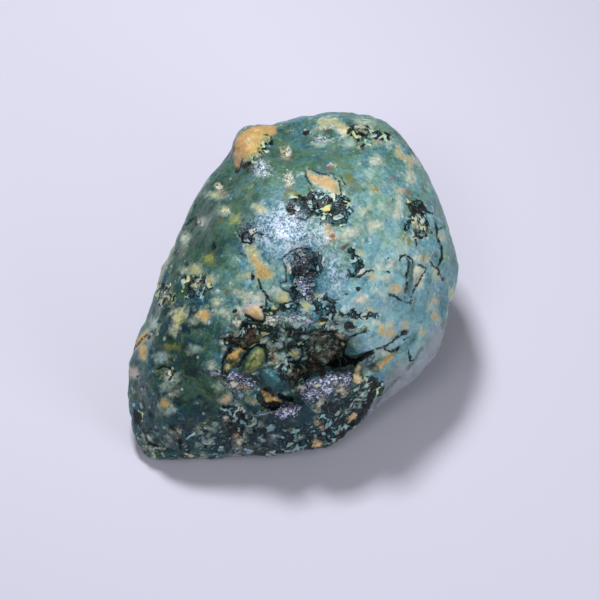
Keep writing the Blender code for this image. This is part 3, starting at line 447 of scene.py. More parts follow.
# Ground in which black and pale green run through each other: (how black, outline).
LACE = [
    (0.6, [(-2.9, 15.2), (-1.6, 15.6), (-1.9, 14.4), (-3.2, 12.8), (-5.2, 11.8), (-5, 12.8), (-3.2, 13.9)]),
    (1.25, [(0.2, 9.2), (1.5, 9.3), (2.1, 10), (3.4, 9.7), (4.5, 9.3), (5.6, 9.2), (6.2, 8.3), (5.9, 7.5),
        (4.2, 7.5), (2.5, 7.6), (0.4, 7.1), (-0.2, 8.2)]),
    (0.75, [(3, 7.6), (4.2, 7.6), (6, 7.5), (5.6, 6.5), (4.2, 6.3), (3.2, 6.8)]),
    (1.55, [(0.8, 4), (2, 3.8), (2.9, 3.5), (3.4, 2.9), (3.2, 2), (2.6, 1.5), (2, 1.1), (0.2, 1), (-0.1, 2),
        (0.2, 2.9)]),
    (0.8, [(-0.4, 0.6), (0.8, 0.8), (1.2, -1), (0.8, -2.2), (-1, -2.4), (-2.2, -3), (-2.6, -2),
        (-1.2, -1.6), (0.2, -1.4)]),
    (0.85, [(11.7, 9.2), (12.6, 9.2), (13.7, 8), (13.9, 6.6), (12.6, 7), (11.9, 7.6)]),
    (0.65, [(11.4, 7.6), (13.8, 7.2), (14.2, 5.6), (12.6, 4.8), (11.4, 6)]),
    (0.85, [(5.6, 4.1), (6.4, 4.1), (7.2, 2.8), (7.4, 1.6), (6.6, 1), (5.8, 1.3), (6.2, 2.4)]),
    (1.35, [(-2.8, -3), (-2, -3.5), (-1, -3.6), (0, -3.6), (1.6, -3.9), (2.6, -4), (2, -5.6), (2.2, -6.8),
        (1.8, -7.6), (0.4, -9), (-0.9, -9), (-1.2, -7.8), (-2.4, -7.8), (-2.4, -6.2), (-2.6, -5.6),
        (-4.2, -4.9), (-5.2, -3.9), (-4.4, -3.2)]),
    (1.3, [(2, -3.9), (4.4, -3.9), (5.3, -4.9), (5.2, -7.2), (3.2, -7.6), (1.6, -8.8), (0, -9.4),
        (0.2, -8.4), (1.6, -7.4), (1.8, -5.6)]),
    (0.9, [(0.6, 1.4), (2.4, 1.2), (2.7, 0.2), (2.4, -1), (1.2, -1.2), (0.5, 0.2)]),
    (0.6, [(-2.4, -2.2), (0, -2.2), (2.4, -2.2), (4.4, -2.6), (4.6, -3.4), (3.4, -3.8), (0, -3.6),
        (-2.4, -3.4)]),
    (0.62, [(2.6, -0.6), (4, -0.4), (4.8, -1.6), (4.6, -3.2), (3, -3), (2.4, -1.8)]),
    (1, [(4.8, -2.1), (6.4, -2.1), (8.7, -2.3), (8.7, -2.8), (6.4, -2.8), (4.8, -2.7)]),
    (0.8, [(-6.5, -4.6), (-5.2, -4.6), (-4, -5), (-2.8, -5.3), (-4.6, -5.8), (-5.2, -7.2), (-6.2, -8.6),
        (-6.9, -8.5), (-6.5, -7.4), (-6, -6.3), (-6.6, -5.4)]),
    (0.9, [(-4.2, -8), (-3, -7.9), (-3, -9.4), (-4, -9.3)]),
    (1.3, [(3.2, -11.2), (4.4, -10.6), (6.2, -9.8), (7.6, -9.4), (8.2, -10.6), (7.4, -12.6), (6.2, -14.2),
        (4.6, -15.6), (3.4, -15.4), (2.6, -14.4), (3.4, -12.8)]),
    (1.45, [(7.5, -8.7), (8.3, -8.7), (9.3, -9.6), (8.8, -10.6), (7.6, -10.6), (6.9, -9.5)]),
    (0.85, [(-0.6, -14), (2.6, -13.6), (3.6, -15.2), (2.4, -16.3), (0, -16.9), (-1.6, -16.4)]),
    (1.15, [(-6.8, -11.9), (-5, -11.6), (-4.4, -12.8), (-4.8, -14.8), (-5.8, -14.4), (-6.6, -13.2)]),
    (1.05, [(-3.4, -10.6), (-2.2, -10), (-0.6, -10.6), (0, -11.4), (-1.4, -12.3), (-2.8, -12)]),
    (0.42, [(-15.8, -12), (-14.8, -12.2), (-13, -14.6), (-9, -13.4), (-6.8, -13), (-4.6, -14.6),
        (-1, -15.6), (-1, -17.2), (-11.4, -17.2), (-14.4, -16.8), (-15.6, -14.4)]),
    (0.5, [(-5, -11.8), (-2.4, -13), (-0.4, -13.4), (-0.8, -15.4), (-4.4, -14.6)]),
    (0.8, [(-5.3, 5.9), (-4.2, 6.6), (-3.2, 6.3), (-2.6, 5.4), (-3.4, 4.6), (-5, 4.4)]),
    (0.7, [(-10.9, 1.4), (-8.4, 1.6), (-7.8, 0.2), (-8.6, -0.6), (-10.6, -0.8)]),
    (0.8, [(-13.3, 0.6), (-12.2, 0.4), (-11.4, -0.8), (-12.4, -2), (-13.6, -1.2)]),
    (0.65, [(5.6, 16.8), (7, 16.5), (9, 16), (10.2, 15.2), (9.2, 14.6), (7.2, 14.9), (5.8, 15.3)]),
    (0.36, [(-13.5, -7.3), (-11.4, -7.3), (-11.2, -9.2), (-13.2, -9.5)]),
]

# Fine quartz crust, white and lilac grains over black, which glint: (how white, outline).
CRUST = [
    (0.7, [(0.6, 1.6), (2.2, 1.4), (2.8, 0.6), (2.9, -0.6), (2.2, -1.4), (1.2, -1.6), (0.9, -0.2),
        (0.2, 0.5)]),
    (0.95, [(0.7, -9.4), (2, -8.8), (3.4, -8.5), (4.2, -8), (6.2, -7.8), (6.4, -9), (6, -10), (4.8, -10.2),
        (3.3, -11.1), (1.4, -11.2), (0.6, -10.3)]),
    (1, [(-1.6, -11.6), (-0.6, -11.3), (0.4, -10.9), (1.1, -11.6), (0.4, -12.6), (-0.8, -12.9),
        (-1.7, -12.5)]),
    (0.95, [(-6.6, -8.3), (-5.4, -8), (-4.6, -8), (-4.2, -8.6), (-3.2, -9.2), (-3.6, -9.9), (-5.2, -10.2),
        (-6.4, -9.8), (-6.9, -9)]),
    (1, [(-8.2, -8), (-7.2, -8.1), (-6.8, -8.8), (-8, -8.6)]),
    (0.6, [(-1.4, -2.4), (2.4, -2.4), (2.4, -3.3), (-1.4, -3.2)]),
]


# ------------------------------------------------------------------------------------------
# Soft drifts on the show face: ovals with a strength after their tilt.
# ------------------------------------------------------------------------------------------

# Painted sheen: pale grainy places on the crown and about it, where the lamp's highlight falls.
PAINTED_SHEEN = [(0, 6.2, 1.7, 2.4, 20, 0.9), (-2.2, 5.6, 2.2, 2, 40, 0.5), (-2.9, 12.1, 1, 0.8, 0, 0.9),
    (3.2, 5.2, 1.8, 1.3, 0, 0.5), (3.2, 15.1, 0.8, 0.35, 0, 0.8), (0, 3.2, 1.6, 1, 0, 0.3),
    (4.6, 1.6, 1, 2.4, 10, 0.55), (-0.6, -2.9, 2.4, 0.5, 0, 0.55)]

# Pits filled with small crystals: cream grains with brown between, and white grains that are painted
# glints.
SINTER_AND_GLINTS = [(-0.5, 13.7, 0.95, 0.8, 20, 1), (-0.1, 11, 0.8, 1, 0, 1), (4.1, 12.5, 0.5, 0.32, 0, 1),
    (-7.1, 10.4, 0.6, 0.62, 0, 1), (-6.3, 7.9, 0.42, 0.46, 20, 0.8), (-4.1, 14.8, 0.8, 0.9, 10, 0.62),
    (-2.9, 15.8, 0.3, 0.3, 0, 0.7), (-8.9, 6.6, 0.6, 0.62, 0, 0.7), (-9.2, 0.5, 0.95, 0.85, 0, 0.8),
    (-12.4, -0.9, 0.7, 1.1, -20, 0.8), (13, 6.6, 0.85, 1, 0, 0.7), (3.9, 16.2, 0.6, 0.45, 0, 0.6),
    (7.2, 15.9, 1.1, 0.4, -10, 0.7), (-12.4, -8.4, 0.45, 0.45, 0, 0.4), (1.9, 8.9, 0.45, 0.6, 0, 0.6),
    (3.8, 5.2, 0.6, 0.5, 0, 0.7), (2.8, 10.3, 0.5, 0.4, -20, 0.6), (7, 14.3, 0.6, 0.5, 0, 0.7),
    (-4, -6.8, 0.8, 0.3, -30, 0.5), (-12.4, -14.6, 0.6, 0.5, 0, 0.6), (6.2, -2.9, 0.9, 0.3, 0, 0.6)]

# Where the lace is stained brown, towards the hollow.
BROWN = [(-4.2, -4.7, 1.7, 0.8, 10, 1), (3.6, -5.6, 2, 1.8, 0, 0.3), (1, -8.3, 1.6, 0.8, 35, 0.8),
    (-6, -7.2, 0.8, 1.4, 0, 0.6)]

# Olive and dark-green moss drifting under the skin.
MOSS = [(-8.1, 3.1, 1.2, 1, 0, 0.8), (5.9, 10.7, 1.1, 1.3, 0, 1.3), (0, 9.7, 1.2, 0.5, 0, 0.7),
    (-9, -9.8, 3, 2.4, 0, 0.7), (4.6, 13.6, 2.2, 1.6, 0, 0.4), (-4.2, 9, 1.4, 2.4, 30, 0.5),
    (-3.4, -7, 1.2, 1.4, -30, 0.6), (8.6, 8.6, 1.6, 2, 0, 0.3), (-1.4, 14, 2, 1.6, 0, 0.4)]

# The skin's light and dark, partly its own and partly painted light and shade: paler to the right, on
# the flank and on the round lobe and lip by the hollow, darker at the top, left and bottom. Above 0 is
# paler than the middle of the skin, below it darker.
SKIN_TONE_AND_PAINTED_LIGHT = [(10, 5, 6.5, 8, 0, 0.65), (2, 14.5, 8, 3.6, 0, -0.5), (8.5, -1.5, 6.5, 4, 0, 0.25),
    (-9, 7, 4.5, 9, -30, -1.1), (-11.5, -9, 6.5, 8, 0, -1.2), (-2, -14.5, 9, 4, 0, -1.75),
    (-10, -9.6, 2.2, 1.6, 0, -0.5), (2.6, -5.6, 3.4, 2.2, 0, -0.2), (13, -7, 4, 5, 0, 0.4),
    (-2.5, -6, 4, 2.4, 0, -0.2), (5.4, -12, 3.4, 3, 0, -0.8), (-5.5, 0, 3.4, 2.6, 0, 0.2),
    (-1, 6, 4, 4, 0, 0.1), (-10.6, -3, 2.6, 3.6, 0, -0.8), (-1, -14.5, 4, 2.4, 0, -0.5),
    (7.6, -5.4, 2.2, 1.3, 0, 0.8), (1.5, 0.4, 1.3, 1.5, 0, -2), (10.4, -5.4, 1.6, 0.8, 20, 0.8)]

# Where the skin is quiet: low relief, little mottle, few specks and few creamy clouds.
CALM = [(0.5, 13, 7.5, 3, 0, 1), (-8, 5.5, 3, 6.5, -30, 0.9), (-10, -6, 3, 2, 0, 0.6),
    (-8.5, -9.5, 3, 2.6, 0, 0.2), (11.5, -2, 3, 2.6, 0, 0.5), (1, -12.4, 1.6, 1, -35, 1),
    (13, -7, 3, 4, -30, 1)]

# Where the skin is bluer than green, and below 0 where it is greener. The bluer crown, the first oval,
# is partly painted bluish sheen.
COOL = [(-1, 6, 3.6, 3.6, 0, 1.6), (8.5, -1, 6, 4.4, 0, 1.2), (14, 0, 3, 6, 0, 0.7),
    (-8.6, -1, 4, 4, 0, 0.6), (5.6, -12, 3, 3, 0, 0.8), (-2, -14.5, 9, 3.4, 0, 1.3),
    (-13.5, -11, 4, 5, 0, 0.2), (-8.5, -10, 3.4, 2.8, 0, -0.9), (-1, 12.6, 4.5, 3, 0, -0.6),
    (6, 14, 3.6, 2.4, 0, -0.3), (-8, 5, 4, 8, -30, -0.8), (2, -0.4, 2.2, 2.6, 0, 1.6),
    (1.2, -8, 5, 2, 0, 0.5)]

# Mauve-grey flank to the lower right, below the lip of the hollow.
MAUVE_FLANK = [(12.6, -7.6), (14.6, -3.8), (16.6, -3), (15.6, -7), (12.6, -10.4), (9, -13.4), (5, -16.4),
    (5.4, -14.8), (8, -11.8), (9.6, -9.6), (11, -7.4)]


# ------------------------------------------------------------------------------------------
# Relief on the show face, in mm: ovals that rise or sink, and cracks with a width and a depth.
# ------------------------------------------------------------------------------------------

RELIEF = {
    "upper_pit": (-0.4, 13.7, 0.75, 0.6, 20, -0.34),
    "middle_pit": (0, 10.8, 0.8, 0.7, 0, -0.3),
    "right_pit": (4.1, 12.4, 0.55, 0.36, 0, -0.26),
    "left_pit": (-7.1, 10.4, 0.65, 0.65, 0, -0.34),
    "olive_pit": (-5.8, 7.4, 0.85, 0.9, 20, -0.3),
    "top_pit": (3.8, 15.6, 0.55, 0.45, 0, -0.26),
    "top_notch": (7.2, 15.5, 0.9, 0.4, 0, -0.3),
    "side_pit": (-8.9, 6.5, 0.7, 0.5, 0, -0.22),
    "ring_pit": (-12.4, -8.4, 0.8, 0.8, 0, -0.3),
    "ring_middle": (-12.4, -8.4, 0.3, 0.3, 0, 0.18),
    "low_pit": (-10.8, -3.1, 0.55, 0.5, 0, -0.16),
    "right_hole": (13, 6.2, 0.7, 0.6, 0, -0.2),
    "black_bowl": (1.4, 1.8, 1.9, 2.2, 10, -0.42),
    "bowl_floor": (1.6, 0, 1.2, 1.2, 0, -0.16),
    "fox_foot": (3.2, 8.5, 2.4, 1, -8, -0.26),
    "trough_top": (-3.6, 9.4, 0.8, 1.3, 30, -0.14),
    "trough_foot": (-4.8, 7, 0.7, 1.1, 25, -0.14),
    "tear_ridge": (2, 8.9, 0.5, 0.6, 0, 0.14),
    "olive_lobe": (-3.4, -6.8, 0.95, 1.35, -30, 0.34),
    "lobe_top": (-3.1, -6.2, 0.36, 0.3, 0, 0.16),
    "lobe_foot": (-3.9, -7.6, 0.34, 0.44, -30, 0.14),
    "lobe_side": (-5.4, -6.4, 0.8, 0.5, 20, 0.24),
    "orange_step": (-3.7, -2.3, 0.9, 0.7, 0, 0.28),
    "pale_block": (0.6, -6.4, 0.6, 0.62, 0, 0.34),
    "boulder": (-1.9, -8.9, 1.25, 1, 10, 0.3),
    "boulder_chip": (-1.2, -8.6, 0.4, 0.5, 30, -0.16),
    "boulder_step": (-2.5, -8.4, 0.45, 0.3, 20, 0.12),
    "tan_shard": (-1.9, -10.7, 1.1, 0.36, -28, 0.26),
    "under_shard": (-1.8, -11.6, 0.8, 0.34, 0, -0.32),
    "lilac_peak": (0.1, -11.5, 0.9, 0.7, 0, 0.34),
    "deep_plane": (1.2, -12.8, 1.5, 1, -35, -0.26),
    "crust_shelf": (3.6, -9.2, 2.8, 1, 8, 0.2),
    "ridge_edge": (-2.7, -12.4, 1.3, 0.4, 6, 0.2),
    "dark_nook": (-5.2, -12.8, 0.8, 1.2, 20, -0.26),
    "left_crescent": (-14, -14.6, 0.8, 0.4, 35, 0.16),
    "corner_dip": (-13.4, -15.2, 0.9, 0.5, 15, -0.22),
    "network_dip": (5.4, -12.6, 1.4, 1.6, 0, -0.2),
    "round_lobe": (6.9, -5.4, 1.8, 1.3, 15, 0.5),
    "lip_block": (9.8, -5.3, 0.8, 0.4, 25, 0.16),
}

BASIN = [(2, -4.2), (3.2, -3.9), (4.3, -4.2), (5, -4.9), (5.5, -5.2), (5.4, -6.2), (5.6, -6.8), (7.2, -6.6),
    (8.2, -6.1), (7.9, -6.6), (7, -7.2), (6.4, -7.8), (4.8, -8), (3.2, -7.8), (2, -8.4), (1, -9.2),
    (0.2, -9.7), (-0.3, -9.3), (0.6, -8.2), (1.6, -7.4), (1.9, -6.2), (1.5, -5)]
BASIN_DEPTH = 0.50

# (width, depth, places)
CRACKS = [
    (0.45, 1, [(7.7, -6.4), (6.9, -6.8), (5.9, -7.1), (5, -7.2)]),
    (0.22, 0.45, [(11.5, -4.2), (10.8, -4.6), (10.2, -5.1), (9.5, -5.6), (8.5, -5.9), (7.7, -6.4)]),
    (0.2, 0.25, [(10.9, -5.6), (10.4, -6.1), (9.4, -5.8)]),
    (0.22, 0.28, [(5.2, -6.6), (5.5, -5.9), (5.4, -5.4), (5.8, -4.8), (6.9, -4.2), (7.6, -4.1)]),
    (0.26, 0.36, [(-6.6, -5.1), (-5.7, -5.5), (-4.8, -5.7), (-4, -5.9), (-3.4, -5.5), (-2.8, -5.7)]),
    (0.22, 0.3, [(-6.6, -5), (-5.4, -4.6), (-4.9, -3.8), (-4.1, -3), (-2.8, -3.2)]),
    (0.24, 0.34, [(-4.2, -5.9), (-4.6, -6.8), (-4.8, -8)]),
    (0.24, 0.36, [(-0.6, -7.6), (-0.4, -8.8), (-1.4, -9.8), (-2.6, -9.8)]),
    (0.26, 0.4, [(-1.6, -10.2), (-0.8, -10.7), (0.1, -11)]),
    (0.18, 0.2, [(-6.1, -6), (-6.7, -6.6), (-6.8, -7.8), (-6.7, -8.6)]),
    (0.18, 0.16, [(-2.3, -0.7), (-1.8, -1.2), (-1.3, -1.5), (-0.6, -1.4), (0.1, -1.2)]),
    (0.18, 0.18, [(-2.4, -0.8), (-2.4, -1.5), (-2.6, -2.1), (-2.5, -3)]),
    (0.18, 0.18, [(11.8, 2.8), (11.9, 2.1), (11.7, 0.8), (11.4, -0.1), (12.1, -1.4)]),
    (0.18, 0.14, [(12.3, 2.7), (13.5, 2.1), (12.3, 0.2), (12.1, -1.4)]),
    (0.18, 0.16, [(14.4, 6.9), (14.8, 5.1), (15.4, 3.3), (14.7, 2.2)]),
    (0.18, 0.16, [(-14.2, -4.4), (-15, -5.2), (-16.2, -6.6)]),
    (0.16, 0.12, [(1.8, 12.1), (1.7, 11.2), (2.3, 10.3)]),
    (0.2, 0.2, [(-12, -13.7), (-11.3, -14.3), (-11, -16)]),
]


# ------------------------------------------------------------------------------------------
# What the material is mixed from
# ------------------------------------------------------------------------------------------

# Noises: size in mm, detail, roughness, distortion, and a shift in mm for those that would
# otherwise run together. The drift is of some 3 mm, the mottle of 0.8 mm and the grain of 0.22 mm.
NOISES = {
    "drift": (2.8, 3.0, 0.55, 0.0, None),
    "mottle": (0.8, 3.0, 0.6, 0.0, None),
    "squiggle": (0.85, 3.0, 0.55, 0.7, None),
    "grain": (0.22, 2.0, 0.6, 0.0, None),
    "blueness": (1.6, 3.0, 0.6, 0.0, (5.0, 23.0, 11.0)),
    "clouds": (1.1, 3.0, 0.6, 0.0, (17.0, 3.0, 29.0)),
    "threads": (1.5, 4.0, 0.65, 0.8, (31.0, 7.0, 3.0)),
    "wild": (1.9, 3.0, 0.6, 1.0, (31.0, 7.0, 3.0)),
    "veins": (3.4, 3.0, 0.55, 0.9, (31.0, 7.0, 3.0)),
    "curls": (0.78, 1.3, 0.5, 0.3, None),
    "strands": (0.55, 2.0, 0.5, 1.1, None),
    "crystals": (0.22, 1.5, 0.5, 0.9, None),
}

# Colours along a noise, from its low values to its high ones.
GREEN_SKIN = [(0.31, "#14291f"), (0.37, "#294a3b"), (0.43, "#4e725f"), (0.485, "#6c937f"),
              (0.54, "#8cb09d"), (0.63, "#b1cbbd")]
COOL_SKIN = [(0.31, "#0d2630"), (0.37, "#1d4652"), (0.43, "#41707b"), (0.485, "#68969f"),
             (0.54, "#8ab0b8"), (0.63, "#b3cad4")]
LACE_CURLS = [(0.33, LACE_BLACK), (0.37, "#1b403d"), (0.42, "#2c5c58"), (0.445, "#4e8279"),
              (0.46, LACE_BLACK), (0.53, LACE_BLACK), (0.55, "#80aa9b"), (0.59, "#a4c4b2"),
              (0.64, "#cbcfb2"), (0.70, "#dcc492")]
HOLLOW_FLOOR_AND_SHADE = [(0.36, "#7a6c58"), (0.41, "#2c251e"), (0.46, "#40382d"), (0.48, "#b4b8a2"),
                (0.50, "#403a32"), (0.56, "#28221c"), (0.60, "#a89e8a"), (0.64, "#bcc6b6")]
CRUST_GRAINS = [(0.79, "#23252f"), (0.85, "#474b5c"), (0.90, "#757a98"), (0.95, "#a3a8c6"),
                (1.01, "#dddff0")]
# The whitest sinter grains are painted glints.
SINTER_AND_GLINT_GRAINS = [(0.32, "#5c5034"), (0.40, "#8e8657"), (0.47, "#bdb68e"), (0.55, "#e2dcc8"),
                 (0.64, "#e9e7ea")]

# Kinds of node and their settings. A sum is input 0 times input 1, plus input 2. A range takes
# input 0 from between inputs 1 and 2 to between 3 and 4, which are 0 and 1 where they aren't given.
# A mix of colours has its share at input 0, the colours at 6 and 7, and its result at output 2.
MATHS = "ShaderNodeMath"
RANGED = "ShaderNodeMapRange"
MIXED = "ShaderNodeMix"
RAMP = "ShaderNodeValToRGB"
VECTOR_MATHS = "ShaderNodeVectorMath"
SUM = {"operation": "MULTIPLY_ADD"}
PRODUCT = {"operation": "MULTIPLY"}
SCALED = {"operation": "SCALE"}
SMOOTH = {"interpolation_type": "SMOOTHSTEP"}
PAINT = {"data_type": "RGBA"}
STAIN = {"data_type": "RGBA", "blend_type": "MULTIPLY"}


def srgb(code):
    """A hex colour as linear red, green, blue and one for opaque."""
    parts = [int(code[place:place + 2], 16) / 255.0 for place in (1, 3, 5)]
    linear = [part / 12.92 if part <= 0.04045 else ((part + 0.055) / 1.055) ** 2.4 for part in parts]
    return (linear[0], linear[1], linear[2], 1.0)


def face_axes():
    """The show face's turn: its columns are across, up and straight out of the face."""
    lean = Matrix.Rotation(math.pi / 2 - FACE_ELEVATION, 3, "X")
    return Matrix.Rotation(FACE_TURN, 3, "Z") @ lean


# ------------------------------------------------------------------------------------------
# The mesh
# ------------------------------------------------------------------------------------------

def apply_modifiers(stone):
    """Makes what the modifiers give the stone's own mesh."""
    graph = bpy.context.evaluated_depsgraph_get()
    stone.data = bpy.data.meshes.new_from_object(stone.evaluated_get(graph))
    stone.modifiers.clear()


def rounded_copy(node):
    """A merged copy of the CAD solid, as a mesh of four-sided faces rounded once."""
    form = bmesh.new()
    form.from_mesh(node.data)
    bmesh.ops.remove_doubles(form, verts=form.verts, dist=MERGE_DISTANCE)
    bmesh.ops.join_triangles(
        form,
        faces=form.faces,
        angle_face_threshold=JOIN_ANGLE,
        angle_shape_threshold=JOIN_ANGLE,
    )
    mesh = bpy.data.meshes.new("moss_agate")
    form.to_mesh(mesh)
    form.free()
    stone = bpy.data.objects.new("moss_agate", mesh)
    bpy.context.scene.collection.objects.link(stone)
    rounding = stone.modifiers.new("rounding", "SUBSURF")
    rounding.levels = 1
    rounding.render_levels = 1
    apply_modifiers(stone)
    return stone


def cut_finer(stone):
    """Cuts the faces that look out of the show face finer, smooths the whole and thins it evenly."""
    out = face_axes() @ Vector((0.0, 0.0, 1.0))
    form = bmesh.new()
    form.from_mesh(stone.data)
    form.normal_update()
    shown = {edge for face in form.faces if face.normal.dot(out) > SHOWN_LEAN for edge in face.edges}
    bmesh.ops.subdivide_edges(form, edges=list(shown), cuts=SHOW_CUTS, use_grid_fill=True)
    for _ in range(SMOOTH_ROUNDS):
        bmesh.ops.smooth_vert(
            form,
            verts=form.verts,
            factor=0.5,
            use_axis_x=True,
            use_axis_y=True,
            use_axis_z=True,
        )
    bmesh.ops.recalc_face_normals(form, faces=form.faces)
    form.to_mesh(stone.data)
    form.free()
    thinning = stone.modifiers.new("thinning", "DECIMATE")
    thinning.ratio = KEPT_FACES
    apply_modifiers(stone)


def read_points(mesh):
    """Each vertex's place in mm, and the direction in which the surface faces there."""
    points = np.empty(len(mesh.vertices) * 3)
    mesh.vertices.foreach_get("co", points)
    normals = np.empty(len(mesh.vertices) * 3)
    mesh.vertex_normals.foreach_get("vector", normals)
    return points.reshape(-1, 3) / MM, normals.reshape(-1, 3)


def places_on_face(points, normals):
    """Where each point is seen on the show face (across, up), and how squarely it is seen."""
    axes = np.array(face_axes())
    local = (points - np.array(FACE_MIDDLE)) @ axes
    eye = np.array([VIEW_OFF_MIDDLE[0], VIEW_OFF_MIDDLE[1], VIEW_DISTANCE])
    nearer = VIEW_DISTANCE / (VIEW_DISTANCE - local[:, 2])
    middle = np.array(VIEW_OFF_MIDDLE)
    places = middle + (local[:, :2] - middle) * nearer[:, None]
    towards = eye - local
    towards /= np.linalg.norm(towards, axis=1)[:, None]
    square_on = ((normals @ axes) * towards).sum(axis=1)
    return places, square_on


def lumps(points, size, seed, octaves=1):
    """Smooth noise from about -1 to 1, its lumps about `size` mm across. Each seed has its own."""
    shift = SEED_STEP * seed
    return np.array([noise.fractal(Vector(point) / size + shift, 1.0, 2.0, octaves) for point in points])


def crystal_faces(points, size):
    """Small flat faces that lean every way, like the ends of quartz grains `size` mm across."""
    heights = np.empty(len(points))
    for index, point in enumerate(points):
        place = Vector(point) / size
        centre = noise.voronoi(place)[1][0]
        lean = noise.cell_vector(centre * GRAINS_APART) - Vector((0.5, 0.5, 0.5))
        heights[index] = (place - centre).dot(lean) * GRAIN_SLOPE
    return heights


def ease(values, start, end):
    """0 below start, 1 above end, and a smooth step between."""
    share = np.clip((values - start) / (end - start), 0.0, 1.0)
    return share * share * (3.0 - 2.0 * share)


def off_segment(places, start, end):
    """Distance in mm from each place to a straight piece of line."""
    start = np.array(start)
    along = np.array(end) - start
    share = np.clip(((places - start) @ along) / max(along @ along, 1e-9), 0.0, 1.0)
    return np.linalg.norm(places - start - share[:, None] * along, axis=1)


def in_line(places, width, line):
    """How deep inside a drawn line each place lies, in mm; below 0 is outside it."""
    distances = [off_segment(places, start, end) for start, end in zip(line[:-1], line[1:])]
    return width / 2 - np.minimum.reduce(distances)


def in_outline(places, outline):
    """How deep inside a closed outline each place lies, in mm; below 0 is outside it."""
    distance = np.full(len(places), np.inf)
    inside = np.zeros(len(places), dtype=bool)
    for start, end in zip(outline, outline[1:] + outline[:1]):
        distance = np.minimum(distance, off_segment(places, start, end))
        crosses = (start[1] > places[:, 1]) != (end[1] > places[:, 1])
        rise = end[1] - start[1]
        if rise:
            at = start[0] + (places[:, 1] - start[1]) * (end[0] - start[0]) / rise
            inside ^= crosses & (places[:, 0] < at)
    return np.where(inside, distance, -distance)


def oval_share(places, across, up, half_width, half_height, tilt=0):
    """Distance from an oval's middle as a share of its own reach: 0 at the middle, 1 at its edge."""
    turn = math.radians(tilt)
    offset = places - np.array((across, up))
    along = offset @ np.array((math.cos(turn), math.sin(turn))) / half_width
    aside = offset @ np.array((-math.sin(turn), math.cos(turn))) / half_height
    return np.hypot(along, aside)


def in_oval(places, oval, ragged, raggedness):
    """How deep inside an oval with a ragged edge each place lies, in mm; below 0 is outside it."""
    size = math.sqrt(oval[2] * oval[3])
    return (1.0 - oval_share(places, *oval)) * size + raggedness * size * ragged


def strongest(places, grounds, start, end):
    """The greatest strength of any outlined ground at each place, eased in over its edge."""
    strength = np.zeros(len(places))
    for share, outline in grounds:
        strength = np.maximum(strength, share * ease(in_outline(places, outline), start, end))
    return strength


def soft_ovals(places, ovals):
    """The sum of soft oval drifts, each with its own strength."""
    total = np.zeros(len(places))
    for *oval, strength in ovals:
        share = oval_share(places, *oval)
        total += strength * np.exp(-DRIFT_FADE * share * share)
    return total


def wandering(places, points, wander):
    """The places, shifted a little by noise, so that a mark's edge isn't ruled."""
    moved = places.copy()
    for axis in (0, 1):
        moved[:, axis] += wander * lumps(points, WANDER_SIZE, 11 + axis, 2)
        moved[:, axis] += EDGE_TREMBLE * lumps(points, TREMBLE_SIZE, 21 + axis)
    return moved


def shape_stone(stone):
    """Gives the fine mesh its relief: worn lumps, pits, the hollow's wall, cracks and crust."""
    points, normals = read_points(stone.data)
    places, square_on = places_on_face(points, normals)
    shown = ease(square_on, *RELIEF_FADES)
    drifts = [lumps(points, RELIEF_WANDER_SIZE, seed) for seed in (31, 32)]
    moved = places + RELIEF_WANDER * np.column_stack(drifts)
    lively = 1.0 - CALMING * np.clip(soft_ovals(places, CALM), 0.0, 1.0) * shown

    height, size = WORN_LUMPS
    rise = height * lumps(points, size, 1, 2)
    for height, size, seed in SMALL_LUMPS:
        rise += lively * height * lumps(points, size, seed, 2)
    height, size = RIM_FRILL
    rise += height * ease(-places[:, 1], *RIM_BAND) * shown * lumps(points, size, 5, 2)
    height, size = LACE_LUMPS
    rise += height * strongest(moved, LACE, *LACE_RISES) * shown * lumps(points, size, 6)
    depth, size = POCKS
    rise -= lively * depth * ease(lumps(points, size, 4), *POCK_EDGE)

    for *oval, height in RELIEF.values():
        share = oval_share(moved, *oval)
        rise += shown * height * np.clip(1.0 - share * share / RELIEF_SPREAD, 0.0, 1.0) ** 2
    basin = in_outline(moved, BASIN)
    rise -= shown * BASIN_DEPTH * ease(basin, *BASIN_SINKS)
    height, size = WALL_GRAIN
    rise += ease(basin, *WALL_RISES) * shown * height * crystal_faces(points, size)
    for width, depth, line in CRACKS:
        off_line = width / 2 - in_line(moved, width, line)
        rise -= shown * depth * np.exp(-((off_line / width) ** 2) * CRACK_FADE)

    crust = strongest(moved, CRUST, *CRUST_RISES) * shown
    sinter = np.clip(soft_ovals(moved, SINTER_AND_GLINTS), 0.0, 1.0) * shown
    crust = np.maximum(crust, sinter)
    grains = np.nonzero(crust > CRUST_LEAST)[0]
    height, size = CRUST_GRAIN
    rise[grains] += height * crust[grains] * crystal_faces(points[grains], size)
    rise *= ease(points[:, 2], *RESTING_EDGE)
    set_points(stone, points + rise[:, None] * normals)


def set_points(stone, points):
    """Moves the vertices, then fits the stone back into the CAD solid's own box."""
    low, high = (np.array(corner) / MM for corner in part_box("nodule"))
    points[:, 2] = np.maximum(points[:, 2], low[2])
    least = points.min(axis=0)
    most = points.max(axis=0)
    points = low + (points - least) * ((high - low) / (most - least))
    stone.data.vertices.foreach_set("co", (points * MM).ravel())
    stone.data.update()


# ------------------------------------------------------------------------------------------
# The marks, kept on the mesh as named attributes
# ------------------------------------------------------------------------------------------

class Marks:
    """Coloured marks laid one over another: how deep in a mark each point is, and its colour."""

    def __init__(self, count):
        self.depth = np.full(count, -1.0)
        self.pale_depth = np.full(count, -1.0)
        self.colour = np.tile(np.array(srgb(COLOURS["cream"])), (count, 1))

    def lay(self, depth, colour):
        """Lays a mark on top. Outside all marks, a point keeps the colour of the nearest."""
        taken = (depth > 0) | ((self.depth < 0) & (depth > self.depth))
        self.colour[taken] = srgb(COLOURS[colour])
        self.depth = np.maximum(self.depth, depth)
        if colour in HALOED:
            self.pale_depth = np.maximum(self.pale_depth, depth)


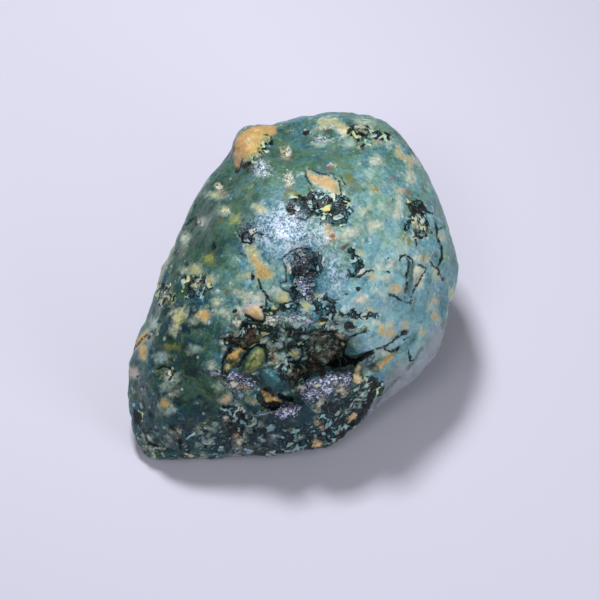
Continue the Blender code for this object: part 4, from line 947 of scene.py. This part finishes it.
def keep(mesh, name, values):
    """Stores one number, or one colour, for each vertex."""
    kind = "FLOAT" if values.ndim == 1 else "FLOAT_COLOR"
    field = "value" if values.ndim == 1 else "color"
    layer = mesh.attributes.new(name, kind, "POINT")
    layer.data.foreach_set(field, values.astype(np.float32).ravel())


def lay_marks(stone):
    """Works out every mark from the named places and keeps it on the mesh for the material."""
    mesh = stone.data
    points, normals = read_points(mesh)
    places, square_on = places_on_face(points, normals)
    shown = ease(square_on, *MARKS_FADE)
    off_face = 1.0 - shown
    moved = wandering(places, points, EDGE_WANDER)
    loose = wandering(places, points, SPOT_WANDER)
    ragged = lumps(points, RAGS_SIZE, 41, 2)
    short = OFF_FACE_SHORT * off_face

    layers = {"under": (PATCHES, OVALS, STROKES), "over": (OVER_PATCHES, OVER_OVALS, OVER_STROKES)}
    for layer, (patches, kinds, strokes) in layers.items():
        marks = Marks(len(points))
        for colour, outline in patches:
            marks.lay(in_outline(moved, outline), colour)
        for colour, ovals in kinds.items():
            for oval in ovals:
                marks.lay(SPOT_SHARE * in_oval(loose, oval, ragged, SPOT_RAGGED), colour)
        for colour, width, line in strokes:
            marks.lay(in_line(moved, width, line), colour)
        keep(mesh, layer + "_depth", np.clip(marks.depth, -1.0, 1.0) - short)
        keep(mesh, layer + "_colour", marks.colour)
        if layer == "under":
            keep(mesh, "halo_depth", np.clip(marks.pale_depth, -1.0, 1.0) - short)

    # Ink, with painted shadow in the crack below the hollow's lip.
    ink_and_shadow = np.full(len(points), -1.0)
    for width, line in INK_AND_SHADOW_LINES:
        ink_and_shadow = np.maximum(ink_and_shadow, in_line(moved, INK_THINNED * width, line) + INK_TREMBLE * ragged)
    for oval in INK_AND_SHADOW_OVALS:
        ink_and_shadow = np.maximum(ink_and_shadow, in_oval(loose, oval, ragged, INK_RAGGED))
    keep(mesh, "ink_depth", ink_and_shadow - short)

    shares = {
        "lace": strongest(loose, LACE, *LACE_EDGE),
        "crust": strongest(loose, CRUST, *CRUST_EDGE),
        # The hollow's floor, whose darkness is partly painted shade.
        "basin": ease(in_outline(moved, BASIN), *BASIN_EDGE),
        "flank": ease(in_outline(places, MAUVE_FLANK), *FLANK_EDGE),
        # Sinter: crystals in the pits, with painted glints.
        "sinter": np.clip(soft_ovals(loose, SINTER_AND_GLINTS), 0.0, 1.0),
        # Painted sheen on the crown, where its highlight falls.
        "frost": np.clip(soft_ovals(places, PAINTED_SHEEN), 0.0, 1.0),
        "moss": np.clip(soft_ovals(places, MOSS), 0.0, 1.0),
        "brown": np.clip(soft_ovals(places, BROWN), 0.0, 1.0),
        "calm": np.clip(soft_ovals(places, CALM), 0.0, 1.0),
        "cool": soft_ovals(places, COOL),
    }
    for name, share in shares.items():
        keep(mesh, name, share * shown)
    # Skin lightness, partly painted light and shade: paler to the right and on the flank, darker at the
    # top, left and bottom.
    keep(mesh, "tone", soft_ovals(places, SKIN_TONE_AND_PAINTED_LIGHT) * shown + OFF_FACE_TONE * off_face)
    keep(mesh, "off_face", off_face)


# ------------------------------------------------------------------------------------------
# The material. Each layer gets `add`, which adds a node to its tree, the `kept` attributes and
# the `uneven` noises, and gives back the colour with the layer laid on it.
# ------------------------------------------------------------------------------------------

def add_node(tree, kind, settings=None, inputs=None, output=0):
    """Adds a node, with its settings, and values or links for its sockets. Gives one output."""
    node = tree.nodes.new(kind)
    for name, value in (settings or {}).items():
        setattr(node, name, value)
    for socket, value in (inputs or {}).items():
        if isinstance(value, bpy.types.NodeSocket):
            tree.links.new(value, node.inputs[socket])
        else:
            node.inputs[socket].default_value = value
    return node.outputs[output] if node.outputs else None


def set_ramp(node, stops):
    """Gives a colour ramp its stops, each a position and a hex colour."""
    elements = node.color_ramp.elements
    elements.remove(elements[1])
    elements[0].position = stops[0][0]
    elements[0].color = srgb(stops[0][1])
    for position, code in stops[1:]:
        elements.new(position).color = srgb(code)


def add_noises(add, place):
    """Every unevenness that the layers share, by name."""
    uneven = {}
    for name, (size, detail, roughness, distortion, shift) in NOISES.items():
        where = place
        if shift:
            where = add(VECTOR_MATHS, {"operation": "ADD"}, {0: place, 1: shift})
        uneven[name] = add("ShaderNodeTexNoise", None, {
            "Vector": where, "Scale": 1 / size, "Detail": detail, "Roughness": roughness,
            "Distortion": distortion})
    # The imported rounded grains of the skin, 0.4 mm across.
    uneven["granules"] = add("ShaderNodeTexVoronoi", {"feature": "SMOOTH_F1"}, {
        "Vector": place, "Scale": 1 / 0.42, "Smoothness": 0.4}, "Distance")
    return uneven


def lay_skin(add, kept, uneven, lively):
    """Skin: deep green to mint or bluish, by drift, mottle, grain and the kept lightness, which is partly
    painted light and shade.
    """
    level = add(MATHS, {"operation": "ADD"}, {0: uneven["mottle"], 1: uneven["grain"]})
    level = add(MATHS, SUM, {0: level, 1: 0.13, 2: -0.13})
    level = add(MATHS, SUM, {0: level, 1: lively, 2: 0.398})
    for part, weight in ((uneven["drift"], 0.14), (uneven["granules"], -0.04), (kept["tone"], 0.08)):
        level = add(MATHS, SUM, {0: part, 1: weight, 2: level})
    skins = []
    for stops in (GREEN_SKIN, COOL_SKIN):
        skins.append(add(RAMP, None, {0: level}))
        set_ramp(skins[-1].node, stops)
    blue_level = add(MATHS, SUM, {0: kept["cool"], 1: 0.20, 2: uneven["blueness"]})
    blue_share = add(RANGED, SMOOTH, {0: blue_level, 1: 0.36, 2: 0.66})
    colour = add(MIXED, PAINT, {0: blue_share, 6: skins[0], 7: skins[1]}, 2)

    # Soft creamy clouds, olive threads of moss, and the mauve-grey flank, nearly without mottle.
    clouds = add(MATHS, SUM, {0: kept["tone"], 1: 0.04, 2: uneven["clouds"]})
    clouds = add(MATHS, SUM, {0: kept["calm"], 1: -0.08, 2: clouds})
    clouds = add(RANGED, SMOOTH, {0: clouds, 1: 0.55, 2: 0.70, 4: 0.31})
    moss = add(MATHS, SUM, {0: kept["moss"], 1: 0.18, 2: uneven["threads"]})
    moss = add(RANGED, SMOOTH, {0: moss, 1: 0.54, 2: 0.72, 4: 0.65})
    flank = add(MATHS, PRODUCT, {0: kept["flank"], 1: 0.78})
    flank_tint = add(MIXED, PAINT, {0: uneven["mottle"], 6: srgb("#5d636a"), 7: srgb("#a7a3aa")}, 2)
    for share, tint in ((clouds, srgb("#bcc6b2")), (moss, srgb("#5c6a43")), (flank, flank_tint)):
        colour = add(MIXED, PAINT, {0: share, 6: colour, 7: tint}, 2)
    return colour, blue_level


def lay_specks(add, colour, kept, uneven, place):
    """Specks: pale and dark dots of 0.2 to 0.4 mm over all the skin."""
    distance = add("ShaderNodeTexVoronoi", {"feature": "F1"},
                   {"Vector": place, "Scale": 1 / 0.85, "Randomness": 1.0}, "Distance")
    chance = add("ShaderNodeSeparateColor", None, {0: distance.node.outputs["Color"]})
    size = add(MATHS, SUM, {0: uneven["mottle"], 1: 0.55, 2: distance})
    size = add(MATHS, SUM, {0: kept["calm"], 1: 0.12, 2: size})
    speck = add(RANGED, SMOOTH, {0: size, 1: 0.44, 2: 0.54, 3: 1.0, 4: 0.0})
    pale_tint = add(MIXED, PAINT,
                    {0: chance.node.outputs[1], 6: srgb("#c2cab8"), 7: srgb("#c3cfd8")}, 2)
    kinds = (("GREATER_THAN", 0.62, 0.48, pale_tint), ("LESS_THAN", 0.30, 0.42, srgb("#1e3a36")))
    for test, limit, strength, tint in kinds:
        share = add(MATHS, {"operation": test}, {0: chance, 1: limit})
        share = add(MATHS, PRODUCT, {0: speck, 1: share})
        share = add(MATHS, PRODUCT, {0: share, 1: strength})
        colour = add(MIXED, PAINT, {0: share, 6: colour, 7: tint}, 2)
    return colour


def lay_wild_patches(add, colour, kept, uneven):
    """Patches away from the show face: creamy to iron-stained, by noise alone."""
    share = add(RANGED, SMOOTH, {0: uneven["wild"], 1: 0.600, 2: 0.625})
    share = add(MATHS, PRODUCT, {0: share, 1: kept["off_face"]})
    warmth = add(RANGED, SMOOTH, {0: uneven["drift"], 1: 0.42, 2: 0.56})
    tint = add(MIXED, PAINT, {0: warmth, 6: srgb(COLOURS["cream"]), 7: srgb(COLOURS["honey"])}, 2)
    return add(MIXED, PAINT, {0: share, 6: colour, 7: tint}, 2)


def lay_placed_marks(add, colour, kept, uneven, layer):
    """One layer of the show face's marks: edges broken by grain, clouded colour, a pale or black rim."""
    edge = add(MATHS, SUM, {0: uneven["grain"], 1: 0.36, 2: kept[layer + "_depth"]})
    share = add(RANGED, SMOOTH, {0: edge, 1: 0.02, 2: 0.42, 4: 0.86})
    if layer == "under":
        rim = kept["halo_depth"]
        for part, weight in ((uneven["grain"], 0.36), (uneven["mottle"], 0.60)):
            rim = add(MATHS, SUM, {0: part, 1: weight, 2: rim})
        rim = add(RANGED, SMOOTH, {0: rim, 1: 0.02, 2: 0.50, 4: 0.38})
        rim_tint = "#b0bda6"
        grit = 0.75
    else:
        rim = add(RANGED, SMOOTH, {0: edge, 1: -0.08, 2: 0.06, 4: 0.75})
        rim_tint = LACE_BLACK
        grit = 1.10
    colour = add(MIXED, PAINT, {0: rim, 6: colour, 7: srgb(rim_tint)}, 2)
    cloud = add(RANGED, SMOOTH, {0: uneven["mottle"], 1: 0.36, 2: 0.62, 3: 0.43, 4: 0.64})
    cloud = add(MATHS, SUM, {0: uneven["grain"], 1: grit, 2: cloud})
    tint = add("ShaderNodeAttribute", {"attribute_name": layer + "_colour"}, None, "Color")
    tint = add(VECTOR_MATHS, SCALED, {0: tint, "Scale": cloud})
    return add(MIXED, PAINT, {0: share, 6: colour, 7: tint}, 2)


def lay_lace(add, colour, kept, uneven, blue_level):
    """Lace: islands of deep green, mint and cream in black, as bands of one noise of 0.8 mm.

    Where the lace is kept stronger, more of it is black right through.
    """
    curls = add(RAMP, None, {0: uneven["curls"]})
    set_ramp(curls.node, LACE_CURLS)
    wild = add(RANGED, SMOOTH, {0: uneven["drift"], 1: 0.53, 2: 0.62})
    wild = add(MATHS, PRODUCT, {0: wild, 1: kept["off_face"]})
    strength = add(MATHS, {"operation": "MAXIMUM"}, {0: wild, 1: kept["lace"]})
    share = add(MATHS, SUM, {0: uneven["mottle"], 1: 2.2, 2: strength})
    share = add(RANGED, SMOOTH, {0: share, 1: 1.50, 2: 1.75})
    blue_share = add(RANGED, SMOOTH, {0: kept["cool"], 1: 0.5, 2: 1.4})
    cream_or_blue = add(RANGED, SMOOTH, {0: blue_level, 1: 0.40, 2: 0.56})
    cream_or_blue = add(MIXED, PAINT, {0: cream_or_blue, 6: srgb("#efe6b8"), 7: srgb("#c6d4ea")}, 2)
    stains = ((kept["brown"], srgb("#b8a688")), (blue_share, srgb("#cfe2ee")), (1.0, cream_or_blue))
    for stain_share, stain in stains:
        curls = add(MIXED, STAIN, {0: stain_share, 6: curls, 7: stain}, 2)
    light = add(MATHS, SUM, {0: uneven["mottle"], 1: 1.1, 2: uneven["grain"]})
    light = add(RANGED, None, {0: light, 1: 0.75, 2: 1.35, 3: 0.66, 4: 1.58})
    # The kept skin lightness, partly painted light and shade, lightens or darkens the lace too.
    light = add(MATHS, SUM, {0: kept["tone"], 1: 0.12, 2: light})
    curls = add(VECTOR_MATHS, SCALED, {0: curls, "Scale": light})
    black = add(MATHS, SUM, {0: strength, 1: 0.14, 2: uneven["squiggle"]})
    black = add(RANGED, SMOOTH, {0: black, 1: 0.71, 2: 0.75})
    black = add(MATHS, PRODUCT, {0: black, 1: share})
    for part, tint in ((share, curls), (black, srgb(LACE_BLACK))):
        colour = add(MIXED, PAINT, {0: part, 6: colour, 7: tint}, 2)
    return colour, share


def lay_hollow_floor_and_shade(add, colour, kept, uneven):
    """The hollow's floor: black-brown, streaked and mottled with grey-green, its darkness partly painted
    shade in the hollow.
    """
    tint = add(RAMP, None, {0: uneven["strands"]})
    set_ramp(tint.node, HOLLOW_FLOOR_AND_SHADE)
    share = add(MATHS, PRODUCT, {0: kept["basin"], 1: 0.34})
    return add(MIXED, PAINT, {0: share, 6: colour, 7: tint}, 2)


def lay_crust(add, colour, kept, uneven):
    """Quartz crust: white and lilac grains of 0.2 mm over black, thinner where it is kept weak."""
    whiteness = uneven["crystals"]
    for part, weight in ((kept["crust"], 0.30), (uneven["mottle"], 0.25)):
        whiteness = add(MATHS, SUM, {0: part, 1: weight, 2: whiteness})
    tint = add(RAMP, None, {0: whiteness})
    set_ramp(tint.node, CRUST_GRAINS)
    share = add(MATHS, PRODUCT, {0: kept["crust"], 1: 2.0})
    for part, weight in ((uneven["mottle"], 3.0), (uneven["grain"], 1.0)):
        share = add(MATHS, SUM, {0: part, 1: weight, 2: share})
    share = add(RANGED, SMOOTH, {0: share, 1: 3.05, 2: 3.45, 4: 0.88})
    return add(MIXED, PAINT, {0: share, 6: colour, 7: tint}, 2), share


def lay_sinter_glints_and_sheen(add, colour, kept, uneven):
    """Crystals in the pits, white to cream to brown, the white grains painted glints, and painted sheen:
    whitish grains on the crown.
    """
    tint = add(RAMP, None, {0: uneven["crystals"]})
    set_ramp(tint.node, SINTER_AND_GLINT_GRAINS)
    # White sinter grains are painted glints in the pits and on the knob; the cream and brown ones are
    # crystals.
    sinter = add(MATHS, SUM, {0: uneven["mottle"], 1: 1.0, 2: kept["sinter"]})
    sinter = add(RANGED, SMOOTH, {0: sinter, 1: 0.90, 2: 1.30, 4: 0.68})
    # Painted sheen: whitish grains on the crown where its highlight falls.
    frost = add(MATHS, SUM, {0: uneven["mottle"], 1: 0.55, 2: uneven["crystals"]})
    frost = add(RANGED, SMOOTH, {0: frost, 1: 0.70, 2: 0.88})
    for weight in (kept["frost"], 0.92):
        frost = add(MATHS, PRODUCT, {0: frost, 1: weight})
    for share, grains in ((sinter, tint), (frost, srgb("#dde1f6"))):
        colour = add(MIXED, PAINT, {0: share, 6: colour, 7: grains}, 2)
    return colour


def lay_ink_and_shadow(add, colour, kept, uneven):
    """Ink: black manganese lines, and painted shadow in the crack below the hollow's lip, with wild veins
    away from the show face.
    """
    vein = add(MATHS, {"operation": "SUBTRACT"}, {0: uneven["veins"], 1: 0.5})
    vein = add(MATHS, {"operation": "ABSOLUTE"}, {0: vein})
    vein = add(RANGED, SMOOTH, {0: vein, 1: 0.006, 2: 0.011, 3: 1.0, 4: 0.0})
    where = add(RANGED, SMOOTH, {0: uneven["drift"], 1: 0.48, 2: 0.54})
    for weight in (where, kept["off_face"]):
        vein = add(MATHS, PRODUCT, {0: vein, 1: weight})
    share = add(MATHS, SUM, {0: uneven["grain"], 1: 0.34, 2: kept["ink_depth"]})
    share = add(RANGED, SMOOTH, {0: share, 1: 0.08, 2: 0.20, 4: 0.97})
    share = add(MATHS, {"operation": "MAXIMUM"}, {0: share, 1: vein})
    return add(MIXED, PAINT, {0: share, 6: colour, 7: srgb("#0a0e10")}, 2), share


def fine_relief(add, uneven, lively, lace, crust, ink_and_shadow):
    """Bump of a tenth of a millimetre: mottle, grain, granules, crystals, and grooves in the lace."""
    groove = add(MATHS, {"operation": "SUBTRACT"}, {0: uneven["curls"], 1: 0.495})
    groove = add(MATHS, {"operation": "ABSOLUTE"}, {0: groove})
    groove = add(RANGED, SMOOTH, {0: groove, 1: 0.02, 2: 0.08, 3: -1.4, 4: 0.0})
    height = add(MATHS, PRODUCT, {0: uneven["mottle"], 1: 0.25})
    parts = ((uneven["grain"], 0.7), (uneven["granules"], -0.5), (crust, uneven["crystals"]),
             (groove, lace), (ink_and_shadow, -0.8))
    for part, weight in parts:
        height = add(MATHS, SUM, {0: part, 1: weight, 2: height})
    return add("ShaderNodeBump", None, {"Strength": lively, "Distance": 0.09 * MM, "Height": height})


def agate_material():
    """Moss agate, water-worn and naturally polished: green chalcedony with a waxy lustre.

    The skin is mottled at three scales. It carries creamy and iron-stained patches with crisp
    edges, and thin black manganese lines. Fine pits break the shine into grains. Painted sheen on the
    crown, painted glints in the pits, and painted light and shade in places stand in for light.
    """
    material = bpy.data.materials.new("water_worn_moss_agate")
    material.use_nodes = True
    tree = material.node_tree
    tree.nodes.clear()
    add = functools.partial(add_node, tree)
    object_place = add("ShaderNodeTexCoord", None, None, "Object")
    place = add(VECTOR_MATHS, SCALED, {0: object_place, "Scale": 1.0 / MM})
    uneven = add_noises(add, place)
    kept = {}
    for name in ("under_depth", "over_depth", "halo_depth", "ink_depth", "lace", "crust", "basin", "frost",
                 "sinter", "moss", "tone", "cool", "flank", "brown", "calm", "off_face"):
        kept[name] = add("ShaderNodeAttribute", {"attribute_name": name}, None, "Fac")

    lively = add(MATHS, SUM, {0: kept["calm"], 1: -CALMING, 2: 1.0})
    colour, blue_level = lay_skin(add, kept, uneven, lively)
    colour = lay_specks(add, colour, kept, uneven, place)
    colour = lay_wild_patches(add, colour, kept, uneven)
    colour = lay_placed_marks(add, colour, kept, uneven, "under")
    colour, lace = lay_lace(add, colour, kept, uneven, blue_level)
    colour = lay_hollow_floor_and_shade(add, colour, kept, uneven)
    colour, crust = lay_crust(add, colour, kept, uneven)
    colour = lay_placed_marks(add, colour, kept, uneven, "over")
    colour = lay_sinter_glints_and_sheen(add, colour, kept, uneven)
    colour, ink_and_shadow = lay_ink_and_shadow(add, colour, kept, uneven)

    # Shine: waxy, broken by a grain of pits.
    roughness = add(RANGED, None, {0: uneven["grain"], 1: 0.35, 2: 0.65, 3: 0.30, 4: 0.50})
    bump = fine_relief(add, uneven, lively, lace, crust, ink_and_shadow)
    shader = add("ShaderNodeBsdfPrincipled", None, {
        "Base Color": colour, "Roughness": roughness, "Normal": bump, "Coat Normal": bump,
        "IOR": 1.54, "Specular IOR Level": 0.18,
        "Coat Weight": 0.15, "Coat Roughness": 0.14, "Coat IOR": 1.5})
    add("ShaderNodeOutputMaterial", None, {0: shader})
    return material


# ------------------------------------------------------------------------------------------
# Floor, light and camera
# ------------------------------------------------------------------------------------------

def lay_floor():
    """A plain pale matt floor, a metre and a half across."""
    form = bmesh.new()
    bmesh.ops.create_grid(form, x_segments=1, y_segments=1, size=FLOOR_HALF)
    mesh = bpy.data.meshes.new("floor")
    form.to_mesh(mesh)
    form.free()
    floor = bpy.data.objects.new("floor", mesh)
    bpy.context.scene.collection.objects.link(floor)
    material = bpy.data.materials.new("pale_matt_floor")
    material.use_nodes = True
    shader = material.node_tree.nodes["Principled BSDF"]
    shader.inputs["Base Color"].default_value = srgb("#c9c7d2")
    shader.inputs["Roughness"].default_value = 0.9
    floor.data.materials.append(material)


def add_light(name, place, size, power):
    """A square soft light at a place in mm, aimed at the stone."""
    lamp = bpy.data.lights.new(name, "AREA")
    lamp.size = size * MM
    lamp.energy = power
    lamp.color = srgb("#f6f8ff")[:3]
    light = bpy.data.objects.new(name, lamp)
    light.location = place * MM
    light.rotation_euler = (place - Vector((0.0, 0.0, 10.0))).to_track_quat("Z", "Y").to_euler()
    bpy.context.scene.collection.objects.link(light)


def light_scene():
    """A soft light nearly overhead, a weak one in front of the face, a wide one to its right."""
    turn = Matrix.Rotation(FACE_TURN, 3, "Z")
    add_light("key", turn @ Vector((-28.0, 62.0, 162.0)), 32.0, 0.30)
    add_light("front", FACE_MIDDLE + face_axes() @ Vector((-50.0, 20.0, 190.0)), 70.0, 0.075)
    add_light("fill", FACE_MIDDLE + face_axes() @ Vector((130.0, -60.0, 110.0)), 90.0, 0.15)
    world = bpy.data.worlds.new("pale_room")
    world.use_nodes = True
    sky = world.node_tree.nodes["Background"]
    sky.inputs["Color"].default_value = srgb("#f4f3fa")
    sky.inputs["Strength"].default_value = 0.18
    bpy.context.scene.world = world
    bpy.context.scene.view_settings.view_transform = "Standard"


def place_camera():
    """The camera looks straight at the show face."""
    axes = face_axes()
    lens = bpy.data.cameras.new("camera")
    lens.sensor_width = SENSOR_WIDTH
    lens.lens = LENS
    lens.clip_start = MM
    camera = bpy.data.objects.new("camera", lens)
    away = Vector((VIEW_OFF_MIDDLE[0], VIEW_OFF_MIDDLE[1], VIEW_DISTANCE))
    camera.location = (FACE_MIDDLE + axes @ away) * MM
    camera.rotation_euler = axes.to_euler()
    bpy.context.scene.collection.objects.link(camera)
    bpy.context.scene.camera = camera


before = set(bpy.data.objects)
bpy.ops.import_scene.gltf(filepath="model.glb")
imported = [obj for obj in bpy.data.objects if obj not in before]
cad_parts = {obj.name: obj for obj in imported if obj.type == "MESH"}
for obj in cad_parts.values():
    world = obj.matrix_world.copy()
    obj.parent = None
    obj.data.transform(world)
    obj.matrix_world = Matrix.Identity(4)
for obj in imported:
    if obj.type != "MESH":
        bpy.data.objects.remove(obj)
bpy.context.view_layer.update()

stone = rounded_copy(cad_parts["nodule"])
cut_finer(stone)
shape_stone(stone)
lay_marks(stone)
stone.data.shade_smooth()
stone.data.materials.clear()
stone.data.materials.append(agate_material())
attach(stone, "root")
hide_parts("nodule")

lay_floor()
light_scene()
place_camera()
